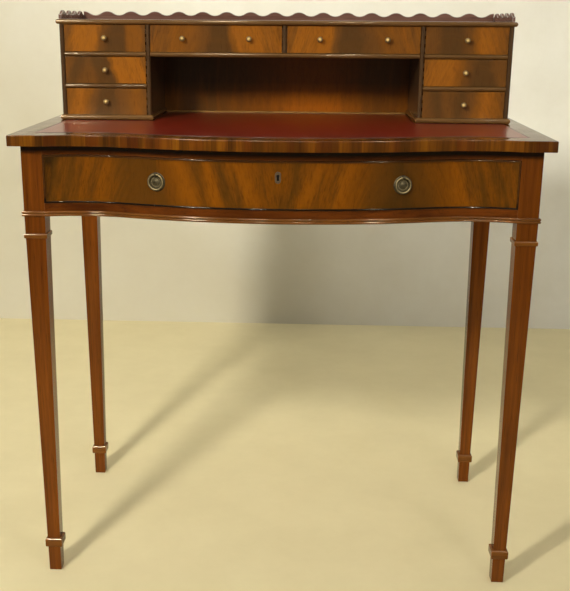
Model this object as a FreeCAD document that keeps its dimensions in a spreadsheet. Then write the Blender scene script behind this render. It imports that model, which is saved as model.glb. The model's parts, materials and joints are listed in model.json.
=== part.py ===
import FreeCAD, Part
import math
import os
from types import SimpleNamespace

import Sketcher

# Bonheur du jour: a small writing desk with a serpentine frieze drawer, tapered legs and a
# superstructure of eight little drawers round a pigeonhole, under a scalloped gallery.
# X runs to the right, Y to the back and Z up; the origin is on the floor, under the middle.

# Driving dimensions in millimetres, and counts.
SIZES = (
    # Writing table
    ("writing_height", "762"),
    ("frieze_width", "808"),
    ("frieze_depth", "445"),
    ("frieze_height", "112"),
    ("top_thickness", "17"),
    ("top_front_overhang", "22"),
    ("top_side_overhang", "15"),
    ("top_back_overhang", "6"),
    ("top_arris", "1.2"),
    ("leather_front_border", "44"),
    ("leather_side_border", "33"),
    ("leather_thickness", "1.2"),
    ("swell", "37"),
    ("hollow", "10.5"),
    ("hollow_inset", "66"),
    ("top_rail_height", "15"),
    ("bottom_rail_height", "21"),
    ("apron_thickness", "18"),
    ("moulding_height", "8.4"),
    ("moulding_fillet", "1.1"),
    # Legs
    ("leg_square", "33"),
    ("leg_foot_square", "20.5"),
    ("foot_arris", "1.5"),
    ("upper_collar_drop", "36"),
    ("upper_collar_height", "8"),
    ("upper_collar_projection", "2.2"),
    ("foot_collar_foot", "46"),
    ("foot_collar_height", "17"),
    ("foot_collar_projection", "3.6"),
    # Frieze drawer
    ("drawer_gap", "0.6"),
    ("running_gap", "0.3"),
    ("main_front_thickness", "22"),
    ("main_side_thickness", "10"),
    ("main_side_drop", "6"),
    ("main_back_thickness", "9"),
    ("main_bottom_thickness", "6"),
    ("main_bottom_lift", "7"),
    ("main_rear_gap", "12"),
    ("main_lap", "5"),
    ("main_groove", "3.5"),
    ("main_tails", "4"),
    ("cock_bead_width", "2.6"),
    ("cock_bead_projection", "2.2"),
    ("cock_bead_rounding", "0.9"),
    ("runner_width", "34"),
    ("runner_thickness", "14"),
    ("guide_height", "30"),
    # Lock
    ("keyhole_offset", "1"),
    ("keyhole_drop", "22.5"),
    ("keyhole_radius", "2.3"),
    ("keyhole_slot_width", "3"),
    ("keyhole_slot_drop", "7.6"),
    ("escutcheon_width", "9"),
    ("escutcheon_height", "18"),
    ("escutcheon_thickness", "0.9"),
    ("lock_width", "52"),
    ("lock_height", "40"),
    ("lock_depth", "10"),
    ("bolt_width", "18"),
    ("bolt_height", "26"),
    ("bolt_thickness", "5"),
    ("bolt_throw", "8"),
    # Ring pulls
    ("pull_inset", "181"),
    ("pull_drop", "37"),
    ("pull_plate_radius", "14.6"),
    ("pull_plate_thickness", "1.2"),
    ("pull_rim_width", "1.8"),
    ("pull_rim_height", "0.9"),
    ("pull_boss_radius", "4.6"),
    ("ring_radius", "11.6"),
    ("ring_wire", "2.6"),
    ("eye_wall", "1.4"),
    ("eye_length", "4"),
    # Superstructure
    ("case_width", "786"),
    ("case_depth", "193"),
    ("plinth_thickness", "9"),
    ("plinth_projection", "3.5"),
    ("outer_side_thickness", "8"),
    ("upright_thickness", "7.5"),
    ("divider_thickness", "8"),
    ("blade_thickness", "8"),
    ("drawer_opening", "46"),
    ("side_opening", "143"),
    ("case_top_thickness", "8"),
    ("case_top_overhang", "4.5"),
    ("back_thickness", "6"),
    ("foot_bead", "3"),
    # Small drawers
    ("front_recess", "1.2"),
    ("front_thickness", "10"),
    ("box_side_thickness", "5"),
    ("box_side_drop", "4"),
    ("box_bottom_thickness", "3"),
    ("box_bottom_lift", "3"),
    ("box_rear_gap", "3"),
    ("box_lap", "3"),
    ("box_groove", "2"),
    ("box_tails", "3"),
    ("middle_knob_spacing", "116"),
    ("knob_radius", "4.8"),
    ("knob_neck_radius", "1.9"),
    ("knob_neck_length", "4.2"),
    ("knob_rose_radius", "3.6"),
    ("knob_rose_thickness", "1.2"),
    # Gallery
    ("gallery_thickness", "5"),
    ("gallery_peak", "15.2"),
    ("gallery_valley", "8.4"),
    ("gallery_back_waves", "17"),
    ("gallery_side_waves", "4"),
)

# A rounded edge takes up nearly half the board on each face.
NOSE_SHARE = 0.47

# An edge counts as level, or as lying along the back, to this share of its length.
LEVEL_SHARE = 1e-6

# A dovetail's width at its root and at its tip, as shares of the pitch.
TAIL_ROOT_SHARE = 0.5
TAIL_TIP_SHARE = 0.66

LEFT = 1
RIGHT = -1
SIDES = (("left", LEFT), ("right", RIGHT))

doc = FreeCAD.newDocument("bonheur_du_jour")
sheet = doc.addObject("Spreadsheet::Sheet", "size")
derived = doc.addObject("Spreadsheet::Sheet", "place")


class Formula:
    """A length from the sheets: its text binds a property, its value starts a drawing."""

    def __init__(self, text, value):
        self.text = text
        self.value = value

    def _join(self, sign, other, value):
        return Formula(f"({self.text} {sign} {formula(other).text})", value)

    def __add__(self, other):
        return self._join("+", other, self.value + formula(other).value)

    def __sub__(self, other):
        return self._join("-", other, self.value - formula(other).value)

    def __mul__(self, other):
        return self._join("*", other, self.value * formula(other).value)

    def __truediv__(self, other):
        return self._join("/", other, self.value / formula(other).value)

    def __neg__(self):
        return Formula(f"(-1 * {self.text})", -self.value)


def formula(amount):
    """A Formula for a plain number, or the Formula itself."""
    if isinstance(amount, Formula):
        return amount
    return Formula(str(amount), float(amount))


def root(amount):
    """The square root of a Formula."""
    return Formula(f"sqrt({amount.text})", math.sqrt(amount.value))


def arc_sine(share):
    """The angle, in degrees, whose sine is the Formula."""
    return Formula(f"asin({share.text})", math.degrees(math.asin(share.value)))


def derive(alias, amount):
    """Keep a worked-out length in the second sheet, and return it under its own name."""
    row = derive.row
    derive.row = row + 1
    derived.set(f"A{row}", alias)
    derived.set(f"B{row}", f"={amount.text}")
    derived.setAlias(f"B{row}", alias)
    return Formula(f"place.{alias}", amount.value)


derive.row = 1

size = SimpleNamespace()
for row, (alias, number) in enumerate(SIZES, start=1):
    sheet.set(f"A{row}", alias)
    sheet.set(f"B{row}", number)
    sheet.setAlias(f"B{row}", alias)
    setattr(size, alias, Formula(f"size.{alias}", float(number)))
doc.recompute()

# The table's main lines.
half_frieze = derive("half_frieze", size.frieze_width / 2)
leg_inner = derive("leg_inner", half_frieze - size.leg_square)
overall_depth = derive(
    "overall_depth", size.swell + size.top_front_overhang + size.frieze_depth + size.top_back_overhang
)
leg_front = derive("leg_front", size.swell + size.top_front_overhang - overall_depth / 2)
front_leg_rear = derive("front_leg_rear", leg_front + size.leg_square)
frieze_back = derive("frieze_back", leg_front + size.frieze_depth)
rear_leg_front = derive("rear_leg_front", frieze_back - size.leg_square)
half_top = derive("half_top", half_frieze + size.top_side_overhang)
top_underside = derive("top_underside", size.writing_height - size.top_thickness)
frieze_foot = derive("frieze_foot", top_underside - size.frieze_height)
upper_collar_foot = derive("upper_collar_foot", frieze_foot - size.upper_collar_drop)
opening_floor = derive("opening_floor", frieze_foot + size.bottom_rail_height)
opening_ceiling = derive("opening_ceiling", top_underside - size.top_rail_height)

# The serpentine: a wide arc swells forward in the middle and runs over into a hollow by each leg.
hollow_place = derive("hollow_place", leg_inner - size.hollow_inset)
hollow_radius = derive(
    "hollow_radius",
    (size.hollow_inset * size.hollow_inset + size.hollow * size.hollow) / (size.hollow * 2),
)
serpentine_rise = derive("serpentine_rise", size.swell + size.hollow)
both_radii = derive(
    "both_radii",
    (hollow_place * hollow_place + serpentine_rise * serpentine_rise) / (serpentine_rise * 2),
)
swell_radius = derive("swell_radius", both_radii - hollow_radius)
turning_place = derive("turning_place", swell_radius * hollow_place / both_radii)


def swell_back(half_span):
    """How far the swelling arc has fallen back from its crown at a distance from the middle."""
    return swell_radius - root(swell_radius * swell_radius - half_span * half_span)


def hollow_back(half_span):
    """How far the hollow lies behind the legs' faces at a distance from the middle."""
    reach = half_span - hollow_place
    return size.hollow - hollow_radius + root(hollow_radius * hollow_radius - reach * reach)


turning_back = derive("turning_back", swell_back(turning_place) - size.swell)


def front_line(across):
    """Where the frieze's front stands at a distance from the middle, as a plain number."""
    across = abs(across)
    if across >= leg_inner.value:
        return leg_front.value
    if across >= turning_place.value:
        return (leg_front + hollow_back(formula(across))).value
    return (leg_front - size.swell + swell_back(formula(across))).value



# The superstructure's main lines.
half_case = derive("half_case", size.case_width / 2)
case_front = derive("case_front", frieze_back - size.case_depth)
panel_front = derive("panel_front", frieze_back - size.back_thickness)
stack_outer = derive("stack_outer", half_case - size.outer_side_thickness)
stack_inner = derive("stack_inner", stack_outer - size.side_opening)
upright_inner = derive("upright_inner", stack_inner - size.upright_thickness)
half_divider = derive("half_divider", size.divider_thickness / 2)
storey = derive("storey", size.drawer_opening + size.blade_thickness)
stack_floor = derive("stack_floor", size.writing_height + size.plinth_thickness)
middle_floor = derive("middle_floor", stack_floor + storey)
upper_floor = derive("upper_floor", middle_floor + storey)
case_ceiling = derive("case_ceiling", upper_floor + size.drawer_opening)
case_top = derive("case_top", case_ceiling + size.case_top_thickness)
doc.recompute()

nodes = []


def bind(piece, prop, amount):
    """Tie one property of a piece to a formula."""
    piece.setExpression(prop, formula(amount).text)


def place_at(piece, x, y, z):
    """Tie a piece's place to formulas."""
    for axis, amount in zip("xyz", (x, y, z)):
        bind(piece, f"Placement.Base.{axis}", amount)


def hand_in(label, piece):
    """Give a finished piece its own name and keep it for writing."""
    piece.Label = label
    nodes.append(piece)
    return piece


def board(name, across, deep, high):
    """A plain board between two limits on each axis."""
    piece = doc.addObject("Part::Box", name)
    place_at(piece, across[0], deep[0], high[0])
    for prop, limits in (("Length", across), ("Width", deep), ("Height", high)):
        bind(piece, prop, formula(limits[1]) - limits[0])
    return piece


def cut(name, base, tool):
    """One piece less the space that another one takes."""
    piece = doc.addObject("Part::Cut", name)
    piece.Base = base
    piece.Tool = tool
    return piece


def group(label, pieces):
    """Separate solids that share one node."""
    compound = doc.addObject("Part::Compound", label)
    compound.Links = pieces
    return hand_in(label, compound)


def on_side(side, inner, outer):
    """Limits across for a board that lies between two distances from the middle."""
    if side == LEFT:
        return (-formula(outer), -formula(inner))
    return (formula(inner), formula(outer))


def new_body(name):
    return doc.addObject("PartDesign::Body", name)


def new_sketch(body, plane, lift=None):
    """A sketch on one of the body's own origin planes, or lifted off it along its normal."""
    sketch = body.newObject("Sketcher::SketchObject", f"{body.Name}_sketch")
    supports = [feature for feature in body.Origin.OriginFeatures if feature.Role == plane]
    sketch.AttachmentSupport = [(supports[0], "")]
    sketch.MapMode = "FlatFace"
    if lift is not None:
        bind(sketch, "AttachmentOffset.Base.z", lift)
    return sketch


def arc_between(start, end, radius, turn):
    """A short arc from start to end; turn tells on which hand its centre lies."""
    chord = end - start
    height = math.sqrt(max(radius**2 - chord.Length**2 / 4, 0))
    normal = FreeCAD.Vector(-chord.y, chord.x, 0).normalize() * turn
    centre = (start + end) / 2 + normal * height
    first, last = (start, end) if turn == LEFT else (end, start)
    angles = [math.atan2(point.y - centre.y, point.x - centre.x) for point in (first, last)]
    circle = Part.Circle(centre, FreeCAD.Vector(0, 0, 1), radius)
    return Part.ArcOfCircle(circle, *angles)


def bind_constraint(sketch, constraint, amount):
    index = sketch.addConstraint(constraint)
    bind(sketch, f"Constraints[{index}]", amount)


def draw(sketch, corners, closed=True):
    """Draw an outline, with each corner and radius tied to its formula.

    A corner is (across, up) where a straight side starts and (across, up, radius, turn) where
    an arc does. The last corner of an open outline starts nothing.
    """
    corners = [tuple(map(formula, corner[:3])) + corner[3:] for corner in corners]
    points = [FreeCAD.Vector(corner[0].value, corner[1].value, 0) for corner in corners]
    count = len(corners) if closed else len(corners) - 1
    ends = []
    for index in range(count):
        start = points[index]
        end = points[(index + 1) % len(points)]
        if len(corners[index]) == 2:
            side = sketch.addGeometry(Part.LineSegment(start, end))
            ends.append((side, 1, 2))
            continue
        radius, turn = corners[index][2:]
        side = sketch.addGeometry(arc_between(start, end, radius.value, turn))
        ends.append((side, 1, 2) if turn == LEFT else (side, 2, 1))
        bind_constraint(sketch, Sketcher.Constraint("Radius", side, radius.value), radius)
    for index in range(count if closed else count - 1):
        side, _, last = ends[index]
        following, first, _ = ends[(index + 1) % count]
        sketch.addConstraint(Sketcher.Constraint("Coincident", side, last, following, first))
    held = [(side, first) for side, first, _ in ends]
    if not closed:
        held.append((ends[-1][0], ends[-1][2]))
    for (side, end), corner in zip(held, corners):
        for kind, amount in (("DistanceX", corner[0]), ("DistanceY", corner[1])):
            bind_constraint(sketch, Sketcher.Constraint(kind, -1, 1, side, end, amount.value), amount)
    return sketch


def draw_disc(sketch, across, up, radius):
    """Draw a circle, with its centre and radius tied to formulas."""
    across, up, radius = map(formula, (across, up, radius))
    centre = FreeCAD.Vector(across.value, up.value, 0)
    disc = sketch.addGeometry(Part.Circle(centre, FreeCAD.Vector(0, 0, 1), radius.value))
    bind_constraint(sketch, Sketcher.Constraint("Radius", disc, radius.value), radius)
    for kind, amount in (("DistanceX", across), ("DistanceY", up)):
        bind_constraint(sketch, Sketcher.Constraint(kind, -1, 1, disc, 3, amount.value), amount)
    return sketch


def pad(body, sketch, length, backwards=False, midplane=False):
    feature = body.newObject("PartDesign::Pad", f"{body.Name}_pad")
    feature.Profile = sketch
    bind(feature, "Length", length)
    feature.Reversed = backwards
    feature.Midplane = midplane
    return feature


def pocket(body, sketch, length, backwards=False, midplane=False):
    feature = body.newObject("PartDesign::Pocket", f"{body.Name}_pocket")
    feature.Profile = sketch
    bind(feature, "Length", length)
    feature.Reversed = backwards
    feature.Midplane = midplane
    return feature


def turned(body, sketch):
    """A full turn about the sketch's horizontal axis."""
    feature = body.newObject("PartDesign::Revolution", f"{body.Name}_turning")
    feature.Profile = sketch
    feature.ReferenceAxis = (sketch, ["H_Axis"])
    feature.Angle = 360
    return feature


def round_edges(body, base, radius, chosen):
    """Round the edges of a feature that the test picks out."""
    doc.recompute()
    names = [f"Edge{i}" for i, edge in enumerate(base.Shape.Edges, start=1) if chosen(edge)]
    feature = body.newObject("PartDesign::Fillet", f"{body.Name}_rounding")
    feature.Base = (base, names)
    bind(feature, "Radius", radius)
    return feature


def is_level(edge):
    """True for an edge that lies in a level plane."""
    return edge.BoundBox.ZLength < edge.Length * LEVEL_SHARE


def rectangle(across, deep):
    return [(across[0], deep[0]), (across[1], deep[0]), (across[1], deep[1]), (across[0], deep[1])]


def upright_board(name, across, front, back, high):
    """A standing board whose front edge is a half round."""
    half = (formula(across[1]) - across[0]) / 2
    body = new_body(name)
    corners = [
        (across[0], back),
        (across[0], formula(front) + half, half, LEFT),
        (formula(across[0]) + half, front, half, LEFT),
        (across[1], formula(front) + half),
        (across[1], back),
    ]
    pad(body, draw(new_sketch(body, "XY_Plane"), corners), formula(high[1]) - high[0])
    place_at(body, 0, 0, high[0])
    return body


def level_board(name, across, front, back, high):
    """A lying board whose front edge is a half round."""
    half = (formula(high[1]) - high[0]) / 2
    body = new_body(name)
    corners = [
        (back, high[1]),
        (formula(front) + half, high[1], half, LEFT),
        (front, formula(high[0]) + half, half, LEFT),
        (formula(front) + half, high[0]),
        (back, high[0]),
    ]
    pad(body, draw(new_sketch(body, "YZ_Plane"), corners), formula(across[1]) - across[0])
    place_at(body, across[0], 0, 0)
    return body


def nosed_slab(name, across, deep, foot, thickness):
    """A slab with its front and end edges rounded above and below."""
    body = new_body(name)
    slab = pad(body, draw(new_sketch(body, "XY_Plane"), rectangle(across, deep)), thickness)
    place_at(body, 0, 0, foot)
    back = formula(deep[1]).value

    def shows(edge):
        return is_level(edge) and edge.CenterOfMass.y < back - edge.Length * LEVEL_SHARE

    round_edges(body, slab, thickness * NOSE_SHARE, shows)
    return body


def serpentine(flush, half_span):
    """The front line from left to right; flush is where the legs' faces would put it."""
    end_back = formula(flush) + hollow_back(half_span)
    turn_back = formula(flush) + turning_back
    return [
        (-half_span, end_back, hollow_radius, RIGHT),
        (-turning_place, turn_back, swell_radius, LEFT),
        (turning_place, turn_back, hollow_radius, RIGHT),
        (half_span, end_back),
    ]


def serpentine_return(flush, half_span):
    """The same line from right to left, for a back face that follows the front."""
    end_back = formula(flush) + hollow_back(half_span)
    turn_back = formula(flush) + turning_back
    return [
        (half_span, end_back, hollow_radius, LEFT),
        (turning_place, turn_back, swell_radius, RIGHT),
        (-turning_place, turn_back, hollow_radius, LEFT),
        (-half_span, end_back),
    ]


def serpentine_board(name, flush, half_span, back, foot, thickness):
    """A board with a serpentine front and a straight back."""
    body = new_body(name)
    corners = serpentine(flush, half_span) + [(half_span, back), (-half_span, back)]
    pad(body, draw(new_sketch(body, "XY_Plane"), corners), thickness)
    place_at(body, 0, 0, foot)
    return body


def serpentine_strip(name, flush, half_span, thickness, foot, height):
    """A strip whose front and back both follow the serpentine."""
    body = new_body(name)
    corners = serpentine(flush, half_span) + serpentine_return(formula(flush) + thickness, half_span)
    pad(body, draw(new_sketch(body, "XY_Plane"), corners), height)
    place_at(body, 0, 0, foot)
    return body


def leather_outline():
    """The writing leather's edge: it follows the front, and runs back between the base boards."""
    flush = leg_front - size.top_front_overhang + size.leather_front_border
    half = half_top - size.leather_side_border
    back = case_front - size.plinth_projection
    half_hole = upright_inner - size.plinth_projection
    hole_back = panel_front - size.foot_bead
    corners = serpentine(flush, leg_inner)
    corners += [(half, flush), (half, back), (half_hole, back), (half_hole, hole_back)]
    corners += [(-half_hole, hole_back), (-half_hole, back), (-half, back), (-half, flush)]
    return corners


def make_writing_top():
    """The writing board, serpentine in front with square corners, and the leather let into it."""
    body = new_body("writing_top")
    flush = leg_front - size.top_front_overhang
    back = frieze_back + size.top_back_overhang
    corners = serpentine(flush, leg_inner)
    corners += [(half_top, flush), (half_top, back), (-half_top, back), (-half_top, flush)]
    slab = pad(body, draw(new_sketch(body, "XY_Plane"), corners), size.top_thickness)
    place_at(body, 0, 0, top_underside)
    round_edges(body, slab, size.top_arris, is_level)
    bed = draw(new_sketch(body, "XY_Plane", size.top_thickness), leather_outline())
    pocket(body, bed, size.leather_thickness)
    hand_in("writing_top", body)
    skin = new_body("writing_leather")
    pad(skin, draw(new_sketch(skin, "XY_Plane"), leather_outline()), size.leather_thickness)
    place_at(skin, 0, 0, size.writing_height - size.leather_thickness)
    hand_in("writing_leather", skin)


def make_leg(name, x, y):
    """A leg in one length: a square post beside the frieze and a taper to the floor."""
    body = new_body(name)
    across = (0, size.leg_square)
    post = draw(new_sketch(body, "XY_Plane"), rectangle(across, across))
    pad(body, post, top_underside - frieze_foot)
    inset = (size.leg_square - size.leg_foot_square) / 2
    foot_limits = (inset, size.leg_square - inset)
    foot = draw(new_sketch(body, "XY_Plane", -frieze_foot), rectangle(foot_limits, foot_limits))
    taper = body.newObject("PartDesign::AdditiveLoft", f"{name}_taper")
    taper.Profile = post
    taper.Sections = [foot]
    place_at(body, x, y, frieze_foot)

    def at_foot(edge):
        return is_level(edge) and edge.CenterOfMass.z < -edge.Length

    round_edges(body, taper, size.foot_arris, at_foot)
    return hand_in(name, body)


def make_collar(name, leg, x, y, foot, height, projection):
    """A rounded band planted round a leg, cut to the leg's own taper."""
    top_share = (foot + height) / frieze_foot
    width = size.leg_foot_square + (size.leg_square - size.leg_foot_square) * top_share
    reach = width / 2 + projection
    body = new_body(name)
    limits = (-reach, reach)
    band = pad(body, draw(new_sketch(body, "XY_Plane"), rectangle(limits, limits)), height)
    place_at(body, x + size.leg_square / 2, y + size.leg_square / 2, foot)
    round_edges(body, band, projection * 2 * NOSE_SHARE, is_level)
    return cut(f"{name}_fitted", body, leg)


def make_legs():
    """Four legs with their upper and foot collars."""
    upper = []
    lower = []
    for end, y in (("front", leg_front), ("rear", rear_leg_front)):
        for hand, side in SIDES:
            x = on_side(side, leg_inner, half_frieze)[0]
            name = f"{end}_{hand}_leg"
            leg = make_leg(name, x, y)
            upper.append(
                make_collar(
                    f"{name}_upper_collar",
                    leg,
                    x,
                    y,
                    upper_collar_foot,
                    size.upper_collar_height,
                    size.upper_collar_projection,
                )
            )
            lower.append(
                make_collar(
                    f"{name}_foot_collar",
                    leg,
                    x,
                    y,
                    size.foot_collar_foot,
                    size.foot_collar_height,
                    size.foot_collar_projection,
                )
            )
    group("upper_leg_collars", upper)
    group("foot_collars", lower)


def make_aprons():
    """The three plain frieze boards between the legs."""
    high = (frieze_foot, top_underside)
    for hand, side in SIDES:
        across = on_side(side, half_frieze - size.apron_thickness, half_frieze)
        name = f"{hand}_apron"
        hand_in(name, board(name, across, (front_leg_rear, rear_leg_front), high))
    deep = (frieze_back - size.apron_thickness, frieze_back)
    hand_in("back_apron", board("back_apron", (-leg_inner, leg_inner), deep, high))


def make_rails():
    """The rails over and under the drawer; the upper one has the mortise for the bolt."""
    upper = serpentine_board(
        "drawer_top_rail", leg_front, leg_inner, front_leg_rear, opening_ceiling, size.top_rail_height
    )
    reach = size.bolt_width / 2 + size.drawer_gap
    across = (-size.keyhole_offset - reach, reach - size.keyhole_offset)
    deep = (bolt_front - size.drawer_gap, bolt_front + size.bolt_thickness + size.drawer_gap)
    mortise = draw(new_sketch(upper, "XY_Plane"), rectangle(across, deep))
    pocket(upper, mortise, size.bolt_throw + size.drawer_gap, backwards=True)
    hand_in("drawer_top_rail", upper)
    lower = serpentine_board(
        "drawer_bottom_rail", leg_front, leg_inner, front_leg_rear, frieze_foot, size.bottom_rail_height
    )
    hand_in("drawer_bottom_rail", lower)


def make_moulding():
    """Two beads, one over the other, run round the foot of the frieze and over the legs."""
    bead_height = size.moulding_height / 2
    reach = size.moulding_fillet + bead_height / 2
    outer = half_frieze + reach
    flush = leg_front - reach
    corners = [(-outer, frieze_back), (-outer, flush)]
    corners += serpentine(flush, leg_inner)
    corners += [(outer, flush), (outer, frieze_back), (half_frieze, frieze_back), (half_frieze, leg_front)]
    corners += serpentine_return(leg_front, leg_inner)
    corners += [(-half_frieze, leg_front), (-half_frieze, frieze_back)]

    def shows(edge):
        middle = edge.CenterOfMass
        forward = edge.valueAt((edge.FirstParameter + edge.LastParameter) / 2)
        in_front = forward.y < front_line(forward.x) - reach.value / 2
        beside = abs(middle.x) > half_frieze.value and edge.Length > reach.value * 2
        return is_level(edge) and (in_front or beside)

    beads = []
    for name, foot in (("lower_bead", frieze_foot), ("upper_bead", frieze_foot + bead_height)):
        body = new_body(name)
        strip = pad(body, draw(new_sketch(body, "XY_Plane"), corners), bead_height)
        place_at(body, 0, 0, foot)
        round_edges(body, strip, bead_height * NOSE_SHARE, shows)
        beads.append(body)
    moulding = doc.addObject("Part::Fuse", "frieze_moulding")
    moulding.Base, moulding.Tool = beads
    hand_in("frieze_moulding", moulding)


def make_runners():
    """A runner with its side guide, and a kicker, along each side apron."""
    pieces = []
    outer = half_frieze - size.apron_thickness
    for hand, side in SIDES:
        body = new_body(f"{hand}_runner")
        foot = opening_floor - size.runner_thickness
        corners = [
            (outer, foot),
            (outer, opening_floor + size.guide_height),
            (leg_inner, opening_floor + size.guide_height),
            (leg_inner, opening_floor),
            (outer - size.runner_width, opening_floor),
            (outer - size.runner_width, foot),
        ]
        corners = [(x * -side, z) for x, z in corners]
        section = draw(new_sketch(body, "XZ_Plane"), corners)
        pad(body, section, rear_leg_front - front_leg_rear, backwards=True)
        place_at(body, 0, front_leg_rear, 0)
        pieces.append(body)
        across = on_side(side, outer - size.runner_width, outer)
        deep = (front_leg_rear, rear_leg_front)
        pieces.append(board(f"{hand}_kicker", across, deep, (opening_ceiling, top_underside)))
    group("drawer_runners", pieces)


def keyhole_outline(x, z):
    """A round hole over a straight slot, centred on the round."""
    half_slot = size.keyhole_slot_width / 2
    shoulder = z - root(size.keyhole_radius * size.keyhole_radius - half_slot * half_slot)
    return [
        (x - half_slot, z - size.keyhole_slot_drop),
        (x + half_slot, z - size.keyhole_slot_drop),
        (x + half_slot, shoulder, size.keyhole_radius, LEFT),
        (x + size.keyhole_radius, z, size.keyhole_radius, LEFT),
        (x, z + size.keyhole_radius, size.keyhole_radius, LEFT),
        (x - size.keyhole_radius, z, size.keyhole_radius, LEFT),
        (x - half_slot, shoulder),
    ]


def dovetailed_side(name, across, tip, shoulder, rear, foot, height, tails):
    """A drawer side whose front end is a row of tails, which widen towards the drawer's face."""
    body = new_body(name)
    pitch = height / tails
    half_root = pitch * (TAIL_ROOT_SHARE / 2)
    half_tip = pitch * (TAIL_TIP_SHARE / 2)
    middle = pitch / 2
    sketch = draw(
        new_sketch(body, "YZ_Plane"),
        [
            (rear, 0),
            (rear, pitch),
            (shoulder, pitch),
            (shoulder, middle + half_root),
            (tip, middle + half_tip),
            (tip, middle - half_tip),
            (shoulder, middle - half_root),
            (shoulder, 0),
        ],
    )
    row = pad(body, sketch, formula(across[1]) - across[0])
    doc.recompute()
    pattern = body.newObject("PartDesign::LinearPattern", f"{name}_tails")
    pattern.Originals = [row]
    pattern.Direction = (sketch, ["V_Axis"])
    bind(pattern, "Length", height - pitch)
    bind(pattern, "Occurrences", tails)
    body.Tip = pattern
    place_at(body, across[0], 0, foot)
    return body


def make_main_drawer():
    """The serpentine drawer with its cock bead, box, escutcheon, lock and pulls."""
    half_span = leg_inner - size.drawer_gap
    foot = derive("drawer_foot", opening_floor + size.running_gap)
    top = derive("drawer_top", opening_ceiling - size.drawer_gap)
    front = serpentine_strip(
        "main_drawer_face", leg_front, half_span, size.main_front_thickness, foot, top - foot
    )
    hole = derive("keyhole_height", top - foot - size.keyhole_drop)
    through = size.swell + size.hollow + size.main_front_thickness
    keyhole = new_sketch(front, "XZ_Plane", -leg_front)
    draw(keyhole, keyhole_outline(-size.keyhole_offset, hole))
    pocket(front, keyhole, through * 2, midplane=True)
    box = make_main_box(half_span, foot, top)
    hand_in("main_drawer_front", cut("main_drawer_front", front, box))
    make_cock_bead(half_span, foot, top)
    make_escutcheon(foot + hole)
    make_lock(top)
    make_pulls(top)


def make_cock_bead(half_span, foot, top):
    """A narrow bead planted round the face of the drawer front."""
    bead = serpentine_strip(
        "main_drawer_cock_bead",
        leg_front - size.cock_bead_projection,
        half_span,
        size.cock_bead_projection,
        foot,
        top - foot,
    )
    inner = half_span - size.cock_bead_width
    window = new_sketch(bead, "XZ_Plane", -leg_front)
    high = (size.cock_bead_width, top - foot - size.cock_bead_width)
    draw(window, rectangle((-inner, inner), high))
    frame = pocket(bead, window, (size.swell + size.hollow) * 4, midplane=True)

    def shows(edge):
        middle = edge.valueAt((edge.FirstParameter + edge.LastParameter) / 2)
        in_front = middle.y < front_line(middle.x) - size.cock_bead_projection.value / 2
        return in_front and (is_level(edge) or abs(middle.x) > hollow_place.value)

    round_edges(bead, frame, size.cock_bead_rounding, shows)
    hand_in("main_drawer_cock_bead", bead)


def make_main_box(half_span, foot, top):
    """Dovetailed sides, back and grooved-in bottom of the frieze drawer."""
    inner = half_span - size.main_side_thickness
    rear = frieze_back - size.apron_thickness - size.main_rear_gap
    side_top = top - size.main_side_drop
    bottom_foot = foot + size.main_bottom_lift
    bottom = serpentine_board(
        "main_drawer_bottom",
        leg_front + size.main_front_thickness - size.main_groove,
        inner + size.main_groove,
        rear,
        bottom_foot,
        size.main_bottom_thickness,
    )
    pieces = [bottom]
    for hand, side in SIDES:
        blank = dovetailed_side(
            f"main_drawer_{hand}_blank",
            on_side(side, inner, half_span),
            leg_front + size.main_lap,
            leg_front + size.main_front_thickness,
            rear,
            foot,
            side_top - foot,
            size.main_tails,
        )
        pieces.append(cut(f"main_drawer_{hand}_side", blank, bottom))
    back_high = (bottom_foot + size.main_bottom_thickness, side_top)
    pieces.append(
        board("main_drawer_back", (-inner, inner), (rear - size.main_back_thickness, rear), back_high)
    )
    return group("main_drawer_box", pieces)


def make_escutcheon(height):
    """The brass keyhole plate, an upright oval."""
    body = new_body("keyhole_escutcheon")
    half = size.escutcheon_width / 2
    straight = (size.escutcheon_height - size.escutcheon_width) / 2
    middle = -size.keyhole_slot_drop / 3
    oval = [
        (half, middle - straight),
        (half, middle + straight, half, LEFT),
        (0, middle + straight + half, half, LEFT),
        (-half, middle + straight),
        (-half, middle - straight, half, LEFT),
        (0, middle - straight - half, half, LEFT),
    ]
    plate = new_sketch(body, "XZ_Plane")
    draw(plate, oval)
    draw(plate, keyhole_outline(formula(0), formula(0)))
    pad(body, plate, size.escutcheon_thickness)
    place_at(body, -size.keyhole_offset, leg_front - size.swell, height)
    hand_in("keyhole_escutcheon", body)


def make_lock(top):
    """A till lock planted inside the drawer front, and its bolt, which shoots upwards."""
    middle = -size.keyhole_offset
    across = (middle - size.lock_width / 2, middle + size.lock_width / 2)
    deep = (lock_front, lock_front + size.lock_depth)
    case = board("lock_case_blank", across, deep, (top - size.lock_height, top))
    half_slot = size.bolt_width / 2 + size.running_gap
    slot_foot = top - size.bolt_height - size.running_gap
    slot = board(
        "bolt_slot",
        (middle - half_slot, middle + half_slot),
        (bolt_front - size.running_gap, bolt_front + size.bolt_thickness + size.running_gap),
        (slot_foot, top + size.bolt_throw),
    )
    hand_in("lock_case", cut("lock_case", case, slot))
    half_bolt = size.bolt_width / 2
    bolt = board(
        "lock_bolt",
        (middle - half_bolt, middle + half_bolt),
        (bolt_front, bolt_front + size.bolt_thickness),
        (top - size.bolt_height, top),
    )
    hand_in("lock_bolt", bolt)


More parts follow.
